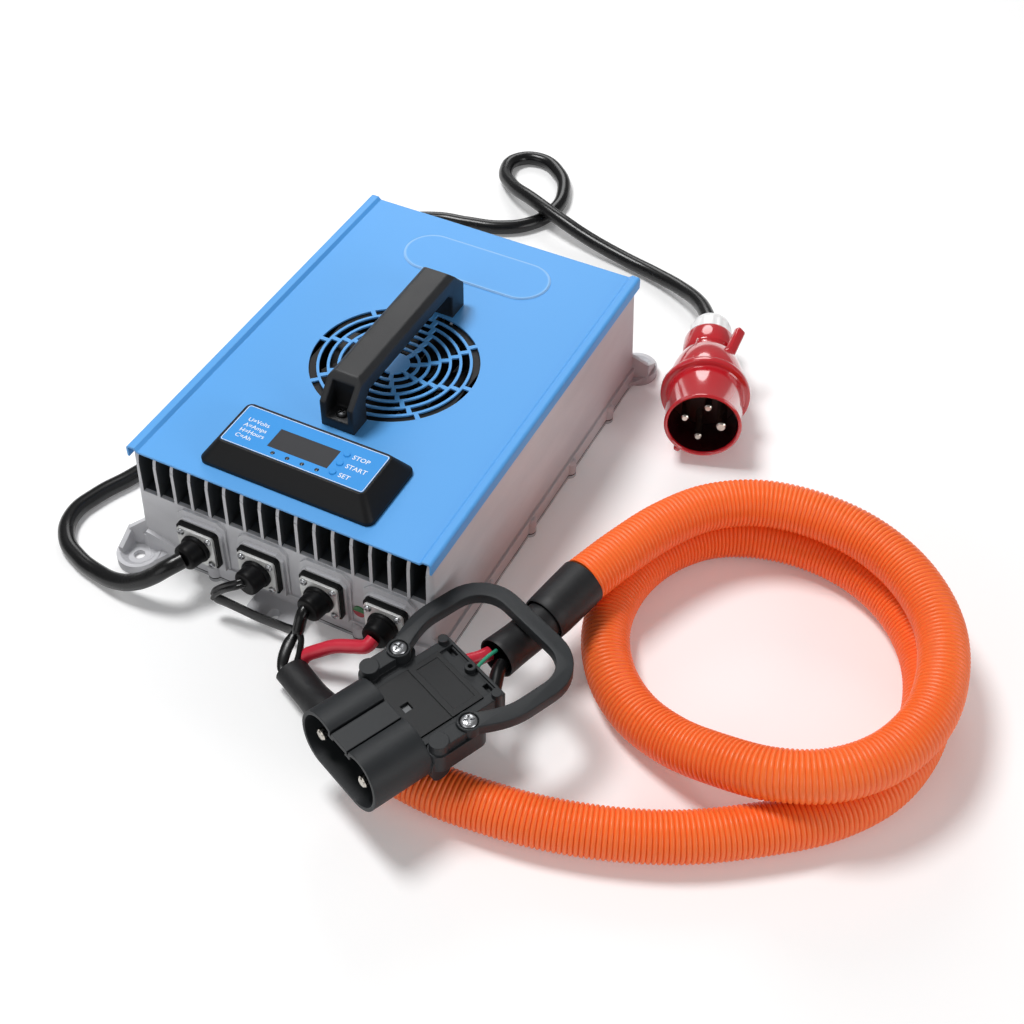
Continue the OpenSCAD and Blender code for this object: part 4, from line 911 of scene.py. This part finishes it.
def make_shroud(place):
    """Open sleeve round the pins, with a rolled lip, a flange and the key rib."""
    r, back = SHROUD_D / 2, SHROUD_L
    bore = r - SHROUD_WALL
    lip = [(bore, 1.4), (r - 2.6, 0.5), (r - 1.8, 0), (r - 0.8, 0.2), (r, 1), (r, 2.4), (r - 0.25, 3)]
    flange = [(r + 0.4, back - 5.4), (r + 1.4, back - 4.4), (FLANGE_R - 1.6, back - 4.2),
              (FLANGE_R - 0.5, back - 3.6), (FLANGE_R, back - 2.4), (FLANGE_R, back + 1),
              (FLANGE_R - 0.6, back + 2.2), (FLANGE_R - 2, back + 3), (r + 1.6, back + 3.6)]
    bm = lathe([(bore, back + 4), *lip, *flange, (r + 1, back + 4), (bore, back + 4)], 96)
    rib_size = (KEY_RIB_W, KEY_RIB_W, back - 5)
    block(bm, rib_size, turned((KEY_RIB_TURN, "Z"), (r + 1.9, 0, back / 2 - 1)), 1.6, 3)
    return dress(placed("mains_plug_shroud", bm, place), "red_plug", replaced=["plug_shroud"])


def make_barrel(place):
    """Bell-shaped grip that narrows to a neck ring, with a latch tab and two seams."""
    foot, end = BARREL_FOOT, BARREL_END
    neck = end - NECK_L
    swell = [(30.5 - 11 * t ** 2.2, foot + 1.5 + t * (BARREL_L - 28)) for t in [k / 16 for k in range(17)]]
    ring = [(19.6, neck - 2), (20.2, neck - 0.8), (21, neck - 0.2), (21.5, neck + 0.8), (21.5, end - 3.6),
            (21.2, end - 2), (20.2, end - 0.6), (19.4, end)]
    bm = lathe([(0, foot), (29.6, foot), (30.4, foot + 0.6), *swell, *ring, (0, end)], 96)
    latch = turned((LATCH_TURN, "Z"), (18, 0, end - 38), (LATCH_LEAN, "Y"), (3, 0, 15))
    block(bm, LATCH_SIZE, latch, 2.2, 4)
    for side in SEAM_TURNS:
        block(bm, SEAM_SIZE, turned((side, "Z"), (27.4, 0, foot + 20), (SEAM_LEAN, "Y")), 0.5)
    return dress(placed("mains_plug_barrel", bm, place), "red_plug", replaced=["plug_body"])


def make_nut(place):
    """Fluted gland nut with a coned nose round the cord."""
    foot, top = BARREL_END, BARREL_END + NUT_L
    skirt = [(16.6, foot), (NUT_R, foot + 0.8), *[(NUT_R, foot + 1.5 + k) for k in range(0, 15, 2)]]
    nose = [(17.4, top - 0.6), (16.8, top + 1), (16, top + 4.2), (15, top + 5.6), (11.4, top + 7.6),
            (10.4, top + NUT_NOSE)]
    bm = lathe([(0, foot), *skirt, *nose, (0, top + NUT_NOSE)], 96)
    ridged(bm, foot + 1.2, top - 1, NUT_FLUTES, FLUTE_DEPTH)
    return dress(placed("mains_gland_nut", bm, place), "white_nut", replaced=["plug_gland_nut"])


def make_mains_plug():
    """The plug's shells, returned with the CAD nodes inside them."""
    place = turned(PLUG_AT, (math.degrees(PLUG_TURN), "Z"), (-90 - math.degrees(PLUG_PITCH), "X"))
    shells = [make_shroud(place), make_barrel(place), make_nut(place)]
    return shells + [nodes[n] for n in ("plug_insert", "plug_phase_pins", "plug_earth_pin")]


make_boots()
make_leads(make_mains_plug())


# Fan

FAN_Y, FAN_Z, ROTOR_R, BLADES = -4.5, 78, 55, 7
BLADE_ROOT_R, BLADE_T, BLADE_LOW, BLADE_RISE, BLADE_CAMBER = 19.4, 1.3, 6.6, 14, 2.2
HUB = [(0, 24), (9, 24), (9.6, 23.6), (10.4, 23.6), (11, 24), (17.4, 24), (18.8, 23.6), (19.7, 22.7),
       (20, 21.5), (20, 4.5), (18.5, 4.5), (18.5, 21.8), (2, 21.8), (2, 1), (0, 1)]


def fan_blade():
    """One swept, cambered blade with a little thickness."""
    bm = bmesh.new()
    bmesh.ops.create_grid(bm, x_segments=10, y_segments=8, size=1)
    for v in bm.verts:
        out, chord = (v.co.x + 1) / 2, (v.co.y + 1) / 2
        r = BLADE_ROOT_R + out * (ROTOR_R - BLADE_ROOT_R)
        angle = math.radians(22 * out ** 1.3 + (0.5 - chord) * (50 - 12 * out))
        height = BLADE_LOW + BLADE_RISE * chord + BLADE_CAMBER * math.sin(math.pi * chord)
        v.co = (r * math.cos(angle), r * math.sin(angle), height)
    bmesh.ops.recalc_face_normals(bm, faces=bm.faces)
    bmesh.ops.solidify(bm, geom=bm.faces[:], thickness=BLADE_T)
    return bm


def make_rotor():
    """Hub and blades in one piece that turns with the fan."""
    bm = lathe(HUB, 64)
    for k in range(BLADES):
        join(bm, fan_blade(), turned((k * 360 / BLADES, "Z")))
    dress(placed("fan_impeller", bm, turned((0, FAN_Y, FAN_Z))), "black_plastic", "fan", ["fan_rotor"])


make_rotor()


# Printing on the panel film

PANEL_Y, FACE_Z, OVERLAY_W, OVERLAY_D = -127, 123, 114.4, 38.4
INK_LIFT, LETTER_WEIGHT = 0.06, 0.004
BORDER_INSET, BORDER_CORNER, BORDER_LINE = 0.6, 2, 0.4
KEY_X, KEY_SIZE, KEY_DROP = 34.2, 5.6, 2
KEY_WORDS = (("STOP", -119.5), ("START", -129), ("SET", -138.5))
UNIT_X, UNIT_SIZE, UNIT_DROP = -50, 5.2, 0.9
UNIT_WORDS = (("U=Volts", -121.2), ("A=Amps", -126.8), ("H=Hours", -132.4), ("C=Ah", -138))


def print_text(words, size, at):
    """Flat lettering as a bmesh in millimetres, its left end on the baseline at a point."""
    font = bpy.data.curves.new("lettering", "FONT")
    font.body, font.size, font.offset, font.resolution_u = words, size, LETTER_WEIGHT * size, 3
    thing = bpy.data.objects.new("lettering", font)
    scene.collection.objects.link(thing)
    mesh = bpy.data.meshes.new_from_object(thing.evaluated_get(bpy.context.evaluated_depsgraph_get()))
    bm = bmesh.new()
    bm.from_mesh(mesh)
    bpy.data.objects.remove(thing)
    bpy.data.curves.remove(font)
    bpy.data.meshes.remove(mesh)
    bmesh.ops.transform(bm, matrix=turned(at), verts=bm.verts)
    return bm


def round_frame(width, depth, corner, line):
    """Flat ring in the shape of a rounded rectangle, line wide."""
    bm = bmesh.new()
    shape = Matrix.Diagonal((width, depth, 1, 1))
    bmesh.ops.create_grid(bm, x_segments=1, y_segments=1, size=0.5, matrix=shape)
    bmesh.ops.bevel(bm, geom=bm.verts[:], offset=corner, segments=6, profile=0.5, affect="VERTICES",
                    material=-1)
    inner = bmesh.ops.inset_region(bm, faces=bm.faces[:], thickness=line, use_boundary=True)
    keep = set(inner["faces"])
    bmesh.ops.delete(bm, geom=[f for f in bm.faces if f not in keep], context="FACES_ONLY")
    return bm


def make_print():
    """Words and border on the film."""
    bm = bmesh.new()
    for words, y in KEY_WORDS:
        join(bm, print_text(words, KEY_SIZE, (KEY_X, y - KEY_DROP, 0)))
    for words, y in UNIT_WORDS:
        join(bm, print_text(words, UNIT_SIZE, (UNIT_X, y - UNIT_DROP, 0)))
    width, depth = OVERLAY_W - BORDER_INSET, OVERLAY_D - BORDER_INSET
    join(bm, round_frame(width, depth, BORDER_CORNER, BORDER_LINE), turned((0, PANEL_Y, 0)))
    bmesh.ops.transform(bm, matrix=Matrix.Translation((0, 0, FACE_Z + INK_LIFT)), verts=bm.verts)
    dress(placed("panel_print", bm, Matrix()), "white_nut", finish=WHITE_INK)


make_print()


# Housings with rounded edges

# Each housing's node, piece, edge width, bevel segments, slot and its own finish, if any
HOUSINGS = [
    ("handle", "carry_handle", 2.2, 4, "black_plastic", HAND_GRIP),
    ("panel_housing", "panel_bezel", 0.9, 3, "black_plastic", None),
    ("din_handle", "battery_plug_bail", 1.6, 3, "grey_plastic", None),
]

for node, name, width, segments, slot, finish in HOUSINGS:
    dress(softened(node, name, width, segments), slot, replaced=[node], finish=finish)


# CAD parts that keep their own shape

def paint_cad():
    """Gives each CAD node the finish of its own name, or else of its material slot."""
    for row in frame["record"]["subparts"]:
        thing = nodes[row["node"]]
        thing.data.materials.clear()
        thing.data.materials.append(NODE_FINISHES.get(row["node"], FINISHES[row["material_slot"]]))


paint_cad()
